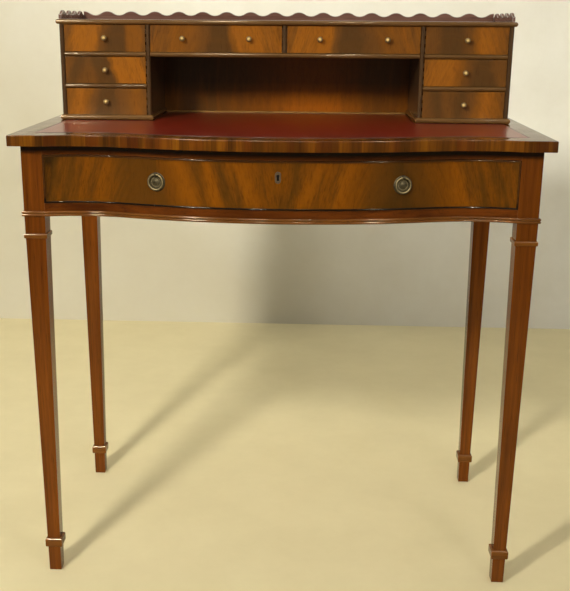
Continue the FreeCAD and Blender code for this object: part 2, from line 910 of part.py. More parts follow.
def make_pulls(top):
    """Two round plates, each with an eye at the top from which a ring hangs."""
    place = derive("pull_place", leg_inner - size.pull_inset)
    face = derive("pull_face", leg_front - size.swell + swell_back(place))
    slant = derive("pull_slant", arc_sine(place / swell_radius))
    height = derive("pull_height", top - size.pull_drop)
    rim_back = size.pull_plate_thickness + size.pull_rim_height
    wire = size.ring_wire / 2
    ring_back = rim_back + size.running_gap + wire
    plates = []
    for hand, side in SIDES:
        plate = make_pull_plate(f"{hand}_pull_plate", rim_back, ring_back, wire)
        ring = new_body(f"{hand}_ring")
        turned(ring, draw_disc(new_sketch(ring, "YZ_Plane"), -ring_back, size.ring_radius, wire))
        for piece in (plate, ring):
            place_at(piece, place * -side, face, height)
            piece.Placement.Rotation.Axis = FreeCAD.Vector(0, 0, 1)
            bind(piece, "Placement.Rotation.Angle", slant * -side)
        hand_in(f"{hand}_ring", ring)
        plates.append(plate)
    group("ring_plates", plates)


def make_pull_plate(name, rim_back, ring_back, wire):
    """A stamped plate with a raised rim and boss, and the eye for its ring."""
    body = new_body(name)
    rim_inner = size.pull_plate_radius - size.pull_rim_width
    flat = -size.pull_plate_thickness
    turned(
        body,
        draw(
            new_sketch(body, "YZ_Plane"),
            [
                (0, 0),
                (0, size.pull_plate_radius),
                (flat, size.pull_plate_radius),
                (-rim_back, size.pull_plate_radius - size.pull_rim_width / 2),
                (flat, rim_inner),
                (flat, size.pull_boss_radius),
                (-rim_back, size.pull_boss_radius / 2),
                (-rim_back, 0),
            ],
        ),
    )
    bore = wire + size.running_gap
    lug = bore + size.eye_wall
    eye = size.ring_radius
    eye_sketch = draw(
        new_sketch(body, "YZ_Plane"),
        [
            (0, eye - lug),
            (0, eye + lug),
            (-ring_back, eye + lug, lug, LEFT),
            (-ring_back - lug, eye, lug, LEFT),
            (-ring_back, eye - lug),
        ],
    )
    pad(body, eye_sketch, size.eye_length, midplane=True)
    hole = draw_disc(new_sketch(body, "YZ_Plane"), -ring_back, eye, bore)
    pocket(body, hole, size.eye_length * 2, midplane=True)
    return body


def make_case():
    """The superstructure's boards, back panel and foot bead."""
    high = (stack_floor, case_ceiling)
    plinths = []
    blades = []
    for hand, side in SIDES:
        reach = on_side(side, upright_inner - size.plinth_projection, half_case + size.plinth_projection)
        deep = (case_front - size.plinth_projection, panel_front)
        plinths.append(
            nosed_slab(f"{hand}_plinth", reach, deep, size.writing_height, size.plinth_thickness)
        )
        name = f"{hand}_outer_side"
        outer = on_side(side, stack_outer, half_case)
        hand_in(name, upright_board(name, outer, case_front, frieze_back, high))
        name = f"{hand}_inner_upright"
        inner = on_side(side, upright_inner, stack_inner)
        hand_in(name, upright_board(name, inner, case_front, panel_front, high))
        stack = on_side(side, stack_inner, stack_outer)
        for storey_name, floor in (("lower", middle_floor), ("upper", upper_floor)):
            blade_high = (floor - size.blade_thickness, floor)
            blades.append(
                level_board(f"{hand}_{storey_name}_blade", stack, case_front, panel_front, blade_high)
            )
    group("plinth_boards", plinths)
    group("drawer_blades", blades)
    across = (-upright_inner, upright_inner)
    shelf_high = (upper_floor - size.blade_thickness, upper_floor)
    hand_in("centre_shelf", level_board("centre_shelf", across, case_front, panel_front, shelf_high))
    divider = (-half_divider, half_divider)
    divider_high = (upper_floor, case_ceiling)
    hand_in(
        "centre_divider", upright_board("centre_divider", divider, case_front, panel_front, divider_high)
    )
    half_board = half_case + size.case_top_overhang
    deep = (case_front - size.case_top_overhang, frieze_back)
    slab = nosed_slab(
        "superstructure_top", (-half_board, half_board), deep, case_ceiling, size.case_top_thickness
    )
    hand_in("superstructure_top", slab)
    make_back_panel(across)


def make_back_panel(across):
    """The back panel between the outer sides, and the bead along its foot in the pigeonhole."""
    panel = board(
        "back_panel",
        (-stack_outer, stack_outer),
        (panel_front, frieze_back),
        (size.writing_height, case_ceiling),
    )
    hand_in("back_panel", panel)
    body = new_body("pigeonhole_bead")
    bead = [
        (panel_front, size.writing_height),
        (panel_front, size.writing_height + size.foot_bead, size.foot_bead, LEFT),
        (panel_front - size.foot_bead, size.writing_height),
    ]
    length = (upright_inner - size.plinth_projection) * 2
    pad(body, draw(new_sketch(body, "YZ_Plane"), bead), length)
    place_at(body, -upright_inner + size.plinth_projection, 0, 0)
    hand_in("pigeonhole_bead", body)


def wave_cell(pitch, radius, ends_high):
    """One wave of the gallery, valley to valley, or crest to crest where its ends are high."""
    middle_height = (size.gallery_peak + size.gallery_valley) / 2
    end_height = size.gallery_peak if ends_high else size.gallery_valley
    first, second = (LEFT, RIGHT) if ends_high else (RIGHT, LEFT)
    return [
        (0, 0),
        (pitch, 0),
        (pitch, end_height, radius, first),
        (pitch * 3 / 4, middle_height, radius, second),
        (pitch / 4, middle_height, radius, first),
        (0, end_height),
    ]


def gallery_strip(name, plane, length, waves, ends_high, backwards):
    """A scalloped strip: one wave padded and repeated along its length."""
    body = new_body(name)
    pitch = length / waves
    quarter = pitch / 4
    half_height = (size.gallery_peak - size.gallery_valley) / 2
    radius = (quarter * quarter + half_height * half_height) / (half_height * 2)
    sketch = draw(new_sketch(body, plane), wave_cell(pitch, radius, ends_high))
    wave = pad(body, sketch, size.gallery_thickness, backwards)
    doc.recompute()
    pattern = body.newObject("PartDesign::LinearPattern", f"{name}_waves")
    pattern.Originals = [wave]
    pattern.Direction = (sketch, ["H_Axis"])
    bind(pattern, "Length", length - pitch)
    bind(pattern, "Occurrences", waves)
    body.Tip = pattern
    return body


def make_gallery():
    """Scalloped strips along both sides of the top board and between them along its back."""
    half_strip = half_case - size.gallery_thickness
    back_strip = gallery_strip(
        "back_gallery", "XZ_Plane", half_strip * 2, size.gallery_back_waves, True, True
    )
    place_at(back_strip, -half_strip, frieze_back - size.gallery_thickness, case_top)
    strips = [back_strip]
    for hand, side in SIDES:
        strip = gallery_strip(
            f"{hand}_gallery", "YZ_Plane", size.case_depth, size.gallery_side_waves, False, False
        )
        place_at(strip, on_side(side, half_strip, half_case)[0], case_front, case_top)
        strips.append(strip)
    group("gallery", strips)


def make_knob(name, x, y, z):
    """A turned brass knob on a small rose."""
    body = new_body(name)
    radius = size.knob_radius
    neck = size.knob_neck_radius
    middle = size.knob_neck_length + root(radius * radius - neck * neck)
    profile = [
        (0, 0),
        (0, size.knob_rose_radius),
        (-size.knob_rose_thickness, size.knob_rose_radius),
        (-size.knob_rose_thickness, neck),
        (-size.knob_neck_length, neck, radius, LEFT),
        (-middle, radius, radius, LEFT),
        (-middle - radius, 0),
    ]
    turned(body, draw(new_sketch(body, "YZ_Plane"), profile))
    place_at(body, x, y, z)
    return body


def make_small_drawer(name, across, floor, knob_places):
    """A little drawer: front, dovetailed box of four boards, and its knob or knobs."""
    left = formula(across[0]) + size.drawer_gap
    right = formula(across[1]) - size.drawer_gap
    foot = floor + size.running_gap
    top = floor + size.drawer_opening - size.drawer_gap
    face = case_front + size.front_recess
    inside = face + size.front_thickness
    rear = panel_front - size.box_rear_gap
    side_top = top - size.box_side_drop
    wall = size.box_side_thickness
    inner_left = left + wall
    inner_right = right - wall
    bottom_foot = foot + size.box_bottom_lift
    bottom_top = bottom_foot + size.box_bottom_thickness
    bottom = board(
        f"{name}_bottom_board",
        (inner_left - size.box_groove, inner_right + size.box_groove),
        (inside - size.box_groove, rear),
        (bottom_foot, bottom_top),
    )
    boards = [bottom]
    for hand, across in (("left", (left, inner_left)), ("right", (inner_right, right))):
        blank = dovetailed_side(
            f"{name}_{hand}_blank",
            across,
            face + size.box_lap,
            inside,
            rear,
            foot,
            side_top - foot,
            size.box_tails,
        )
        boards.append(cut(f"{name}_{hand}_board", blank, bottom))
    back_deep = (rear - wall, rear)
    boards.append(board(f"{name}_back_board", (inner_left, inner_right), back_deep, (bottom_top, side_top)))
    box = group(f"{name}_drawer_box", boards)
    blank = board(f"{name}_drawer_blank", (left, right), (face, inside), (foot, top))
    label = f"{name}_drawer_front"
    hand_in(label, cut(label, blank, box))
    height = floor + size.drawer_opening / 2
    knobs = [make_knob(f"{name}_knob", x, face, height) for x in knob_places]
    if len(knobs) == 1:
        hand_in(f"{name}_drawer_knob", knobs[0])
    else:
        group(f"{name}_drawer_knobs", knobs)


def make_small_drawers():
    """Three drawers in each stack and two over the pigeonhole."""
    floors = (("upper", upper_floor), ("middle", middle_floor), ("lower", stack_floor))
    for hand, side in SIDES:
        across = on_side(side, stack_inner, stack_outer)
        middle = (across[0] + across[1]) / 2
        for storey_name, floor in floors:
            make_small_drawer(f"{storey_name}_{hand}", across, floor, [middle])
        across = on_side(side, half_divider, upright_inner)
        middle = (across[0] + across[1]) / 2
        reach = size.middle_knob_spacing / 2
        make_small_drawer(f"centre_{hand}", across, upper_floor, [middle - reach, middle + reach])


def check_document():
    """Stop if any object failed to build or any node's shape is not sound."""
    for piece in doc.Objects:
        if "Invalid" in piece.State or "Error" in piece.State:
            raise RuntimeError(f"{piece.Name} failed: {piece.State}")
    for piece in nodes:
        if piece.Shape.isNull() or not piece.Shape.isValid():
            raise RuntimeError(f"{piece.Label} has no sound shape")


def write_nodes():
    """Write each node's shape to its own file."""
    os.makedirs("parts", exist_ok=True)
    for piece in nodes:
        piece.Shape.exportStep(os.path.join("parts", f"{piece.Label}.step"))


# The lock stands against the drawer front's inner face, clear of its curve.
lock_front = derive(
    "lock_front",
    leg_front + size.main_front_thickness - size.swell
    + swell_back(size.lock_width / 2 + size.keyhole_offset),
)
bolt_front = derive("bolt_front", lock_front + (size.lock_depth - size.bolt_thickness) / 2)

make_writing_top()
make_legs()
make_aprons()
make_rails()
make_moulding()
make_runners()
make_case()
make_gallery()
make_main_drawer()
make_small_drawers()
doc.recompute()
check_document()
write_nodes()
print(f"{len(nodes)} nodes written")
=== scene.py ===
"""A bonheur du jour, dressed in its mahogany veneers, red leather and brass, in a plain studio."""

import json
import logging
import math
from dataclasses import dataclass, field, fields
from enum import Enum
from typing import Sequence

import bmesh
import bpy
from mathutils import Matrix, Vector
from mathutils.bvhtree import BVHTree


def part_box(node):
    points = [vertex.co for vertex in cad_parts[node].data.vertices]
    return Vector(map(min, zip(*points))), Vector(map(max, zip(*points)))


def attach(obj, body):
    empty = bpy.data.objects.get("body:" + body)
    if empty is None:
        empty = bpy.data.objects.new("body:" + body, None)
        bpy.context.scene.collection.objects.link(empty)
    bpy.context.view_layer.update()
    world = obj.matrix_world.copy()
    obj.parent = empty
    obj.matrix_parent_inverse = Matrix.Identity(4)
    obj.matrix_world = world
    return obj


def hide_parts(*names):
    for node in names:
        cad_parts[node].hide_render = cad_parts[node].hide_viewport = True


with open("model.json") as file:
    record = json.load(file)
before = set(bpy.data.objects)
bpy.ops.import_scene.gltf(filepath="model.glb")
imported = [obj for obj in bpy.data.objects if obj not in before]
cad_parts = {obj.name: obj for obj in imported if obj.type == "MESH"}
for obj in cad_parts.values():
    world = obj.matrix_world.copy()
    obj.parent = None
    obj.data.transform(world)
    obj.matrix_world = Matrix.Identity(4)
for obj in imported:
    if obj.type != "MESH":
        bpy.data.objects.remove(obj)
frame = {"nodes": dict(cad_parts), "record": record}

log = logging.getLogger("bonheur_du_jour")

Colour = tuple[float, float, float, float]
Stop = tuple[float, Colour]
Place = tuple[float, float, float]
Span = tuple[float, float]
Socket = bpy.types.NodeSocket
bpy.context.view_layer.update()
WELD = 2e-6  # metres, below which two corners are one
FLAT = math.radians(0.4)  # the bend below which two faces are one
CREASE = math.radians(32)  # the bend above which an edge is sharp


def shade(red: float, green: float, blue: float) -> Colour:
    """A colour as the eye counts it, in steps of 255, made linear.

    Args:
        red, green, blue: Steps from 0 to 255.

    Returns:
        The linear colour with full cover.
    """
    steps = [channel / 255 for channel in (red, green, blue)]
    linear = [s / 12.92 if s <= 0.04045 else ((s + 0.055) / 1.055) ** 2.4 for s in steps]
    return (linear[0], linear[1], linear[2], 1.0)


POLISH_IOR = 1.36
POLISH_TINT = (1.0, 0.85, 0.6, 1.0)
PORE = shade(24, 10, 5)


class Grain(Enum):
    """Which way a board's grain runs, as the stretch of its figure along X, Y and Z."""

    ACROSS = (0.055, 1.0, 1.0)
    DEEP = (1.0, 0.055, 1.0)
    UPRIGHT = (1.0, 1.0, 0.055)

    def finer(self, share: float) -> list[float]:
        """The stretch with the grain drawn out further, to a share of its own."""
        return [part if part == 1.0 else part * share for part in self.value]


class Tone(Enum):
    """The tones of the flame veneer."""

    SOOT = shade(54, 38, 18)
    SMOKE = shade(90, 60, 27)
    UMBER = shade(110, 70, 28)
    AMBER = shade(132, 80, 23)
    EMBER = shade(158, 95, 24)
    FLARE = shade(166, 98, 22)
    MOTTLE = shade(84, 44, 14)
    VEIN = shade(50, 28, 10)


Tones = tuple[tuple[float, Tone], ...]


def told(figure: str) -> Tones:
    """A veneer figure told in words.

    Args:
        figure: Its tones from left to right, each with its place in hundredths of the width.

    Returns:
        The place, from 0 to 1, and the tone of each.
    """
    steps = [step.split() for step in figure.split(",")]
    return tuple((float(place) / 100, Tone[tone.upper()]) for tone, place in steps)


class Nodes:
    """Lays out the nodes of one tree."""

    def __init__(self, tree: bpy.types.NodeTree) -> None:
        """Take up a tree.

        Args:
            tree: The node tree.
        """
        self.tree = tree

    def feed(self, socket: Socket, value: object) -> None:
        """Link another node's output to a socket, or set the socket's own value.

        Args:
            socket: The input.
            value: The other node's output, or a plain value.
        """
        if isinstance(value, Socket):
            self.tree.links.new(value, socket)
        else:
            socket.default_value = value

    def add(self, kind: str, *terms: object, **feeds: object) -> bpy.types.Node:
        """A new node.

        Args:
            kind: The node's type.
            terms: A socket or a value for each of its first inputs.
            feeds: A socket or a value for inputs by name, with underscores for spaces.

        Returns:
            The new node.
        """
        node = self.tree.nodes.new(kind)
        for socket, term in zip(node.inputs, terms):
            self.feed(socket, term)
        for name, value in feeds.items():
            self.feed(node.inputs[name.replace("_", " ")], value)
        return node

    def split(self, vector: Socket) -> list[Socket]:
        """The three parts of a vector."""
        return list(self.add("ShaderNodeSeparateXYZ", vector).outputs)

    def span(self, value: Socket, low: float, high: float, out_low: object = 0.0,
             out_high: object = 1.0) -> Socket:
        """Carry a range over to another one, held at its ends.

        Args:
            value: What is carried over.
            low: Where the range starts.
            high: Where it ends.
            out_low: What its start becomes.
            out_high: What its end becomes.

        Returns:
            The result socket.
        """
        return self.add("ShaderNodeMapRange", value, low, high, out_low, out_high).outputs[0]


class Wiring(Nodes):
    """Lays out the nodes of one material."""

    def __init__(self, name: str) -> None:
        """Start a material with one glossy shader.

        Args:
            name: The material's name.
        """
        self.material = bpy.data.materials.new(name)
        self.material.use_nodes = True
        super().__init__(self.material.node_tree)
        self.tree.nodes.clear()
        self.shader = self.add("ShaderNodeBsdfPrincipled")
        self.output = self.add("ShaderNodeOutputMaterial", self.shader.outputs["BSDF"])

    def surface(self, **values: object) -> None:
        """Feed the shader.

        Args:
            values: A socket or a value for each input, with underscores for spaces.
        """
        for name, value in values.items():
            self.feed(self.shader.inputs[name.replace("_", " ").title().replace("Ior", "IOR")], value)

    def polished(self, colour: Socket, roughness: Socket) -> None:
        """Feed the shader as wood under French polish.

        Args:
            colour: The wood's colour.
            roughness: The polish's roughness.
        """
        self.surface(base_color=colour, roughness=roughness, ior=POLISH_IOR, specular_tint=POLISH_TINT)

    def place(self, stretch: Sequence[float] = (1, 1, 1), shift: Sequence[float] = (0, 0, 0)) -> Socket:
        """The piece's own coordinates in metres, stretched and moved.

        Args:
            stretch: Factor along each axis.
            shift: Move in metres, after the stretch.

        Returns:
            The vector socket.
        """
        own = self.add("ShaderNodeTexCoord").outputs["Object"]
        return self.add("ShaderNodeMapping", own, Scale=stretch, Location=shift).outputs["Vector"]

    def noise(self, vector: Socket, scale: float, detail: float = 3.0, rough: float = 0.55,
              warp: float = 0.0) -> Socket:
        """Cloudy noise.

        Args:
            vector: Where it is read.
            scale: Clouds to the metre.
            detail: Octaves.
            rough: Share of each further octave.
            warp: Distortion.

        Returns:
            The noise, about 0 to 1.
        """
        node = self.add("ShaderNodeTexNoise", vector, Scale=scale, Detail=detail, Roughness=rough,
                        Distortion=warp)
        return node.outputs[0]

    def cells(self, vector: Socket, scale: float, output: str = "Distance") -> Socket:
        """Cellular noise.

        Args:
            vector: Where it is read.
            scale: Cells to the metre.
            output: The distance to the nearest cell point, or another of its outputs.

        Returns:
            The output socket.
        """
        return self.add("ShaderNodeTexVoronoi", vector, Scale=scale).outputs[output]

    def ramp(self, factor: Socket, stops: Sequence[Stop], ease: bool = False) -> Socket:
        """Colours along a factor.

        Args:
            factor: Where on the ramp.
            stops: Place and colour of each stop.
            ease: Round the run between the stops.

        Returns:
            The colour socket.
        """
        node = self.add("ShaderNodeValToRGB", factor)
        bar = node.color_ramp
        bar.interpolation = "EASE" if ease else "LINEAR"
        while len(bar.elements) < len(stops):
            bar.elements.new(1.0)
        for element, (place, colour) in zip(bar.elements, stops):
            element.position = place
            element.color = colour
        return node.outputs["Color"]

    def reckon(self, kind: str, *terms: object) -> Socket:
        """One arithmetic step.

        Args:
            kind: The operation.
            terms: Its numbers or sockets.

        Returns:
            The result socket.
        """
        node = self.add("ShaderNodeMath", *terms)
        node.operation = kind
        return node.outputs[0]

    def plus(self, first: object, second: object) -> Socket:
        """The sum of two terms."""
        return self.reckon("ADD", first, second)

    def minus(self, first: object, second: object) -> Socket:
        """The difference of two terms."""
        return self.reckon("SUBTRACT", first, second)

    def times(self, first: object, second: object) -> Socket:
        """The product of two terms."""
        return self.reckon("MULTIPLY", first, second)

    def size(self, term: object) -> Socket:
        """A term without its sign."""
        return self.reckon("ABSOLUTE", term)

    def mix(self, factor: object, first: object, second: object, blend: str = "MIX") -> Socket:
        """Blend two colours.

        Args:
            factor: Share of the second.
            first: The colour beneath.
            second: The colour laid over it.
            blend: How it is laid over.

        Returns:
            The colour socket.
        """
        node = self.add("ShaderNodeMix")
        node.data_type = "RGBA"
        node.blend_type = blend
        for place, value in ((0, factor), (6, first), (7, second)):
            self.feed(node.inputs[place], value)
        return node.outputs[2]

    def lay(self, mask: Socket, share: object, first: object, second: object) -> Socket:
        """Lay a colour over another where a mask says.

        Args:
            mask: From 0 to 1.
            share: How much of the colour shows where the mask is 1.
            first: The colour beneath.
            second: The colour laid over it.

        Returns:
            The colour socket.
        """
        return self.mix(self.times(mask, share), first, second)

    def join(self, *parts: object) -> Socket:
        """A vector of three parts."""
        return self.add("ShaderNodeCombineXYZ", *parts).outputs[0]

    def wear(self) -> Socket:
        """How worn the surface is, from the piece's own attribute; on the knobs it holds their painted
        highlight.

        Returns:
            How worn, and on the knob crowns the painted highlight, from 0 to 1.
        """
        node = self.add("ShaderNodeAttribute")
        node.attribute_name = "wear"
        return node.outputs["Fac"]

    def outward(self) -> list[Socket]:
        """The three parts of the direction in which the surface looks."""
        return self.split(self.add("ShaderNodeNewGeometry").outputs["Normal"])

    def clear_back(self) -> None:
        """Let the back of the surface be seen through."""
        side = self.add("ShaderNodeNewGeometry").outputs["Backfacing"]
        clear = self.add("ShaderNodeBsdfTransparent").outputs["BSDF"]
        choice = self.add("ShaderNodeMixShader", side, self.shader.outputs["BSDF"], clear)
        self.feed(self.output.inputs["Surface"], choice.outputs["Shader"])

    def emboss(self, height: Socket, depth: float, strength: float = 1.0) -> None:
        """Raise the shader's surface by a height.

        Args:
            height: From 0 to 1.
            depth: What a height of 1 measures, in metres.
            strength: Share of it that shows.
        """
        bump = self.add("ShaderNodeBump", Strength=strength, Distance=depth, Height=height)
        self.surface(normal=bump.outputs["Normal"])


class Finish:
    """What every finish can do: give its one material, made once."""

    name: str

    def make(self) -> bpy.types.Material:
        """Lay out the new material."""
        raise NotImplementedError

    def material(self) -> bpy.types.Material:
        """The finish's material, made at the first call."""
        return bpy.data.materials.get(self.name) or self.make()


@dataclass(frozen=True)
class Mahogany(Finish):
    """Straight-grained mahogany under French polish.

    Between two heights in metres it can be darkened to near black: painted shade where a shadow falls.
    """

    name: str
    grain: Grain
    dark: Colour
    light: Colour
    # colour of the eased edges: worn polish, and on the gallery a painted reflection
    rubbed: Colour = shade(150, 100, 58)
    polish: float = 0.14
    grimed: Span | None = None

    def make(self) -> bpy.types.Material:
        """Lay out the grain, its ribbons, its pores and the polish.

        Returns:
            The new material.
        """
        w = Wiring(self.name)
        fine = self.grain.finer(0.45)
        figure = w.noise(w.place(self.grain.value), 34, 5, 0.6, 0.7)
        ribbon = w.noise(w.place(fine, (3.1, 1.7, 5.3)), 130, 3, 0.6)
        patch = w.noise(w.place(shift=(0.4, 2.2, 0.9)), 7, 2)
        pores = w.span(w.noise(w.place(fine, (7.7, 0.3, 2.9)), 900, 2, 0.5), 0.6, 0.72)
        tone = w.plus(w.times(figure, 0.55), w.times(ribbon, 0.45))
        colour = w.ramp(tone, [(0.34, self.dark), (0.66, self.light)])
        colour = w.mix(w.span(patch, 0.35, 0.7, 0.0, 0.35), colour, self.dark)
        colour = w.lay(pores, 0.5, colour, PORE)
        colour = w.lay(w.wear(), 0.55, colour, self.rubbed)
        # painted shade: between the two heights the wood darkens to near black, as in shadow
        if self.grimed:
            shadow_band = w.span(w.split(w.place())[2], *self.grimed)
            colour = w.lay(shadow_band, 0.92, colour, shade(16, 9, 4))
        w.polished(colour, w.span(figure, 0.3, 0.7, self.polish, self.polish + 0.08))
        w.emboss(pores, -0.00006, 0.5)
        return w.material


@dataclass(frozen=True)
class FlameVeneer(Finish):
    """Flame-figured veneer on one front: smoke and fire across it, with feathered streaks.

    The figure is told along the front's width, from 0 at its left end to 1 at its right. The feathers
    part at the crotches, whose places are in metres. Between two heights in metres the veneer can be
    darkened: painted shade where a shadow falls.
    """

    name: str
    low: Vector
    high: Vector
    tones: Tones
    lean: float
    crotches: tuple[float, ...]
    seed: float
    stain: Colour = (1.0, 1.0, 1.0, 1.0)
    vivid: float = 1.0
    sweep: float = 0.055
    streaks: float = 85.0
    grimed: Span | None = None

    def make(self) -> bpy.types.Material:
        """Lay out the figure, its feathers, its pores and the polish.

        Returns:
            The new material.
        """
        w = Wiring(self.name)
        across, _, up = w.split(w.place())
        height = w.minus(up, (self.low.z + self.high.z) / 2)
        offset = self.from_crotch(w, across)
        away = w.size(offset)
        cloud = w.noise(w.place((1, 1, 0.6), (self.seed, 0, self.seed)), 26, 4, 0.6, 0.5)
        drift = w.times(w.minus(cloud, 0.5), 0.03)
        slant = w.times(w.times(height, self.lean), w.reckon("SIGN", offset))
        share = w.span(w.plus(across, w.plus(slant, drift)), self.low.x, self.high.x)
        colour = w.ramp(share, [(place, tone.value) for place, tone in self.tones], ease=True)
        bent = w.plus(w.times(away, away), w.times(height, self.sweep))
        feather = w.reckon("SQRT", w.reckon("MAXIMUM", bent, 0.0))
        swept = w.join(feather, w.times(height, 0.12), self.seed)
        clear = w.span(away, 0.03, 0.1, 0.1 * self.vivid, self.vivid)
        streak = w.noise(swept, self.streaks, 4, 0.6, 0.2)
        thread = w.noise(swept, self.streaks * 7, 2, 0.6)
        mottle = w.noise(w.place((1, 1, 0.35), (0, self.seed, 3)), 150, 4, 0.65, 0.6)
        colour = w.lay(w.span(streak, 0.5, 0.7, 0.0, 0.55), clear, colour, Tone.SMOKE.value)
        colour = w.lay(w.span(streak, 0.5, 0.32, 0.0, 0.45), clear, colour, Tone.FLARE.value)
        colour = w.lay(w.span(thread, 0.52, 0.75, 0.0, 0.4), clear, colour, Tone.VEIN.value)
        colour = w.mix(w.span(mottle, 0.5, 0.8, 0.0, 0.35), colour, Tone.MOTTLE.value)
        colour = w.mix(1.0, colour, self.stain, "MULTIPLY")
        # painted shade: above the lower height the veneer darkens, as in shadow
        if self.grimed:
            colour = w.lay(w.span(up, *self.grimed), 0.6, colour, shade(16, 13, 9))
        colour = self.bare_sides(w, colour)
        pores = w.span(w.noise(w.place((1, 1, 0.05), (self.seed, 1, 2)), 1000, 2, 0.5), 0.62, 0.74)
        colour = w.lay(pores, 0.45, colour, PORE)
        colour = w.lay(w.wear(), 0.3, colour, shade(60, 32, 14))
        w.polished(colour, w.span(streak, 0.3, 0.7, 0.13, 0.22))
        w.emboss(pores, -0.00005, 0.5)
        return w.material

    def from_crotch(self, w: Wiring, across: Socket) -> Socket:
        """How far a place lies from the nearest crotch.

        Args:
            w: The material's nodes.
            across: The place along the width.

        Returns:
            The distance in metres, below 0 on the crotch's left.
        """
        offset = w.minus(across, self.crotches[0])
        for crotch in self.crotches[1:]:
            other = w.minus(across, crotch)
            nearer = w.reckon("LESS_THAN", w.size(other), w.size(offset))
            offset = w.plus(w.times(other, nearer), w.times(offset, w.minus(1.0, nearer)))
        return offset

    def bare_sides(self, w: Wiring, colour: Socket) -> Socket:
        """Leave plain wood on the back of the front, and end grain at its ends.

        Args:
            w: The material's nodes.
            colour: The veneer's colour.

        Returns:
            The colour socket.
        """
        grain = w.noise(w.place((0.06, 1, 1), (self.seed, 2, 7)), 70, 5, 0.6, 0.7)
        plain = w.ramp(grain, [(0.32, shade(74, 43, 20)), (0.68, shade(108, 67, 34))])
        sideways, backward, _ = w.outward()
        colour = w.mix(w.reckon("GREATER_THAN", backward, 0.5), colour, plain)
        return w.mix(w.reckon("GREATER_THAN", w.size(sideways), 0.9), colour, shade(40, 23, 11))


@dataclass(frozen=True)
class Crossbanding(Finish):
    """Veneer laid in short lengths across the edge of the writing top, mitred at its corners."""

    name: str
    half_width: float
    front: float
    side_border: float
    front_border: float
    leaf: float = 0.017

    def make(self) -> bpy.types.Material:
        """Lay out the leaves, their streaks and the polish.

        Returns:
            The new material.
        """
        w = Wiring(self.name)
        across, deep, up = w.split(w.place())
        from_side = w.minus(self.half_width, w.size(across))
        from_front = w.minus(deep, self.front)
        past_mitre = w.reckon("GREATER_THAN", w.reckon("DIVIDE", from_front, self.front_border),
                              w.reckon("DIVIDE", from_side, self.side_border))
        near_side = w.reckon("LESS_THAN", from_side, self.side_border + 0.02)
        sideways = w.times(past_mitre, near_side)
        forward = w.minus(1.0, sideways)
        run = w.plus(w.times(sideways, deep), w.times(forward, across))
        other = w.plus(w.times(sideways, across), w.times(forward, deep))
        lines = w.join(run, w.times(other, 0.06), w.times(up, 0.06))
        streak = w.noise(lines, 36, 4, 0.6)
        thread = w.noise(lines, 480, 2, 0.6)
        depth, red, _ = w.split(w.cells(w.join(run, 0.0, sideways), 1 / self.leaf, "Color"))
        tone = w.plus(w.times(streak, 0.86), w.times(depth, 0.14))
        colour = w.ramp(tone, [(0.34, shade(62, 34, 8)), (0.5, shade(97, 54, 10)),
                               (0.64, shade(132, 79, 13))])
        colour = w.mix(w.span(red, 0.5, 1.0, 0.0, 0.5), colour, shade(100, 42, 11))
        colour = w.mix(w.span(thread, 0.52, 0.75, 0.0, 0.35), colour, shade(44, 20, 8))
        # painted shade: within 30 mm of the sides the banding darkens towards the ends of the top
        colour = w.mix(w.span(from_side, 0.0, 0.03, 0.55, 0.0), colour, shade(58, 32, 22))
        colour = w.lay(w.wear(), 0.4, colour, shade(140, 86, 40))
        w.polished(colour, w.span(streak, 0.3, 0.7, 0.14, 0.22))
        w.emboss(thread, -0.00005, 0.35)
        return w.material


@dataclass(frozen=True)
class Leather(Finish):
    """Writing leather with a polished grain."""

    name: str
    dark: Colour
    light: Colour

    def make(self) -> bpy.types.Material:
        """Lay out the colour, the grain and the glaze.

        Returns:
            The new material.
        """
        w = Wiring(self.name)
        place = w.place()
        mottle = w.noise(w.place((1, 0.25, 1)), 9, 4, 0.6, 0.4)
        pebble = w.cells(place, 1050)
        crease = w.noise(place, 420, 3, 0.6, 1.2)
        colour = w.ramp(mottle, [(0.3, self.dark), (0.7, self.light)])
        colour = w.mix(w.span(pebble, 0.45, 0.75, 0.0, 0.4), colour, shade(60, 8, 3))
        w.surface(base_color=colour, roughness=w.span(mottle, 0.3, 0.7, 0.29, 0.34), ior=POLISH_IOR,
                  coat_weight=0.3, coat_roughness=0.13, coat_IOR=POLISH_IOR)
        w.emboss(w.minus(w.times(crease, 0.6), pebble), 0.00005, 0.12)
        return w.material


@dataclass(frozen=True)
class Brass(Finish):
    """Brass, bright under its lacquer or darkened with age."""

    name: str
    bright: Colour
    dull: Colour
    # colour of worn edges, and on the knobs the painted highlight of their crowns
    rubbed: Colour
    gloss: float
    metal: float

    def make(self) -> bpy.types.Material:
        """Lay out the metal, its tarnish, its worn edges, the painted highlight on knob crowns and its fine
        scratches.

        Returns:
            The new material.
        """
        w = Wiring(self.name)
        stain = w.noise(w.place(), 260, 4, 0.65, 0.6)
        scratch = w.noise(w.place((1, 1, 0.08)), 2600, 2, 0.6)
        colour = w.mix(w.span(stain, 0.35, 0.66), self.bright, self.dull)
        colour = w.lay(w.wear(), 0.85, colour, self.rubbed)
        w.surface(base_color=colour, metallic=self.metal,
                  roughness=w.span(stain, 0.3, 0.7, self.gloss, self.gloss + 0.2))
        w.emboss(w.plus(w.times(stain, 0.8), w.times(scratch, 0.2)), 0.00012, 0.5)
        return w.material


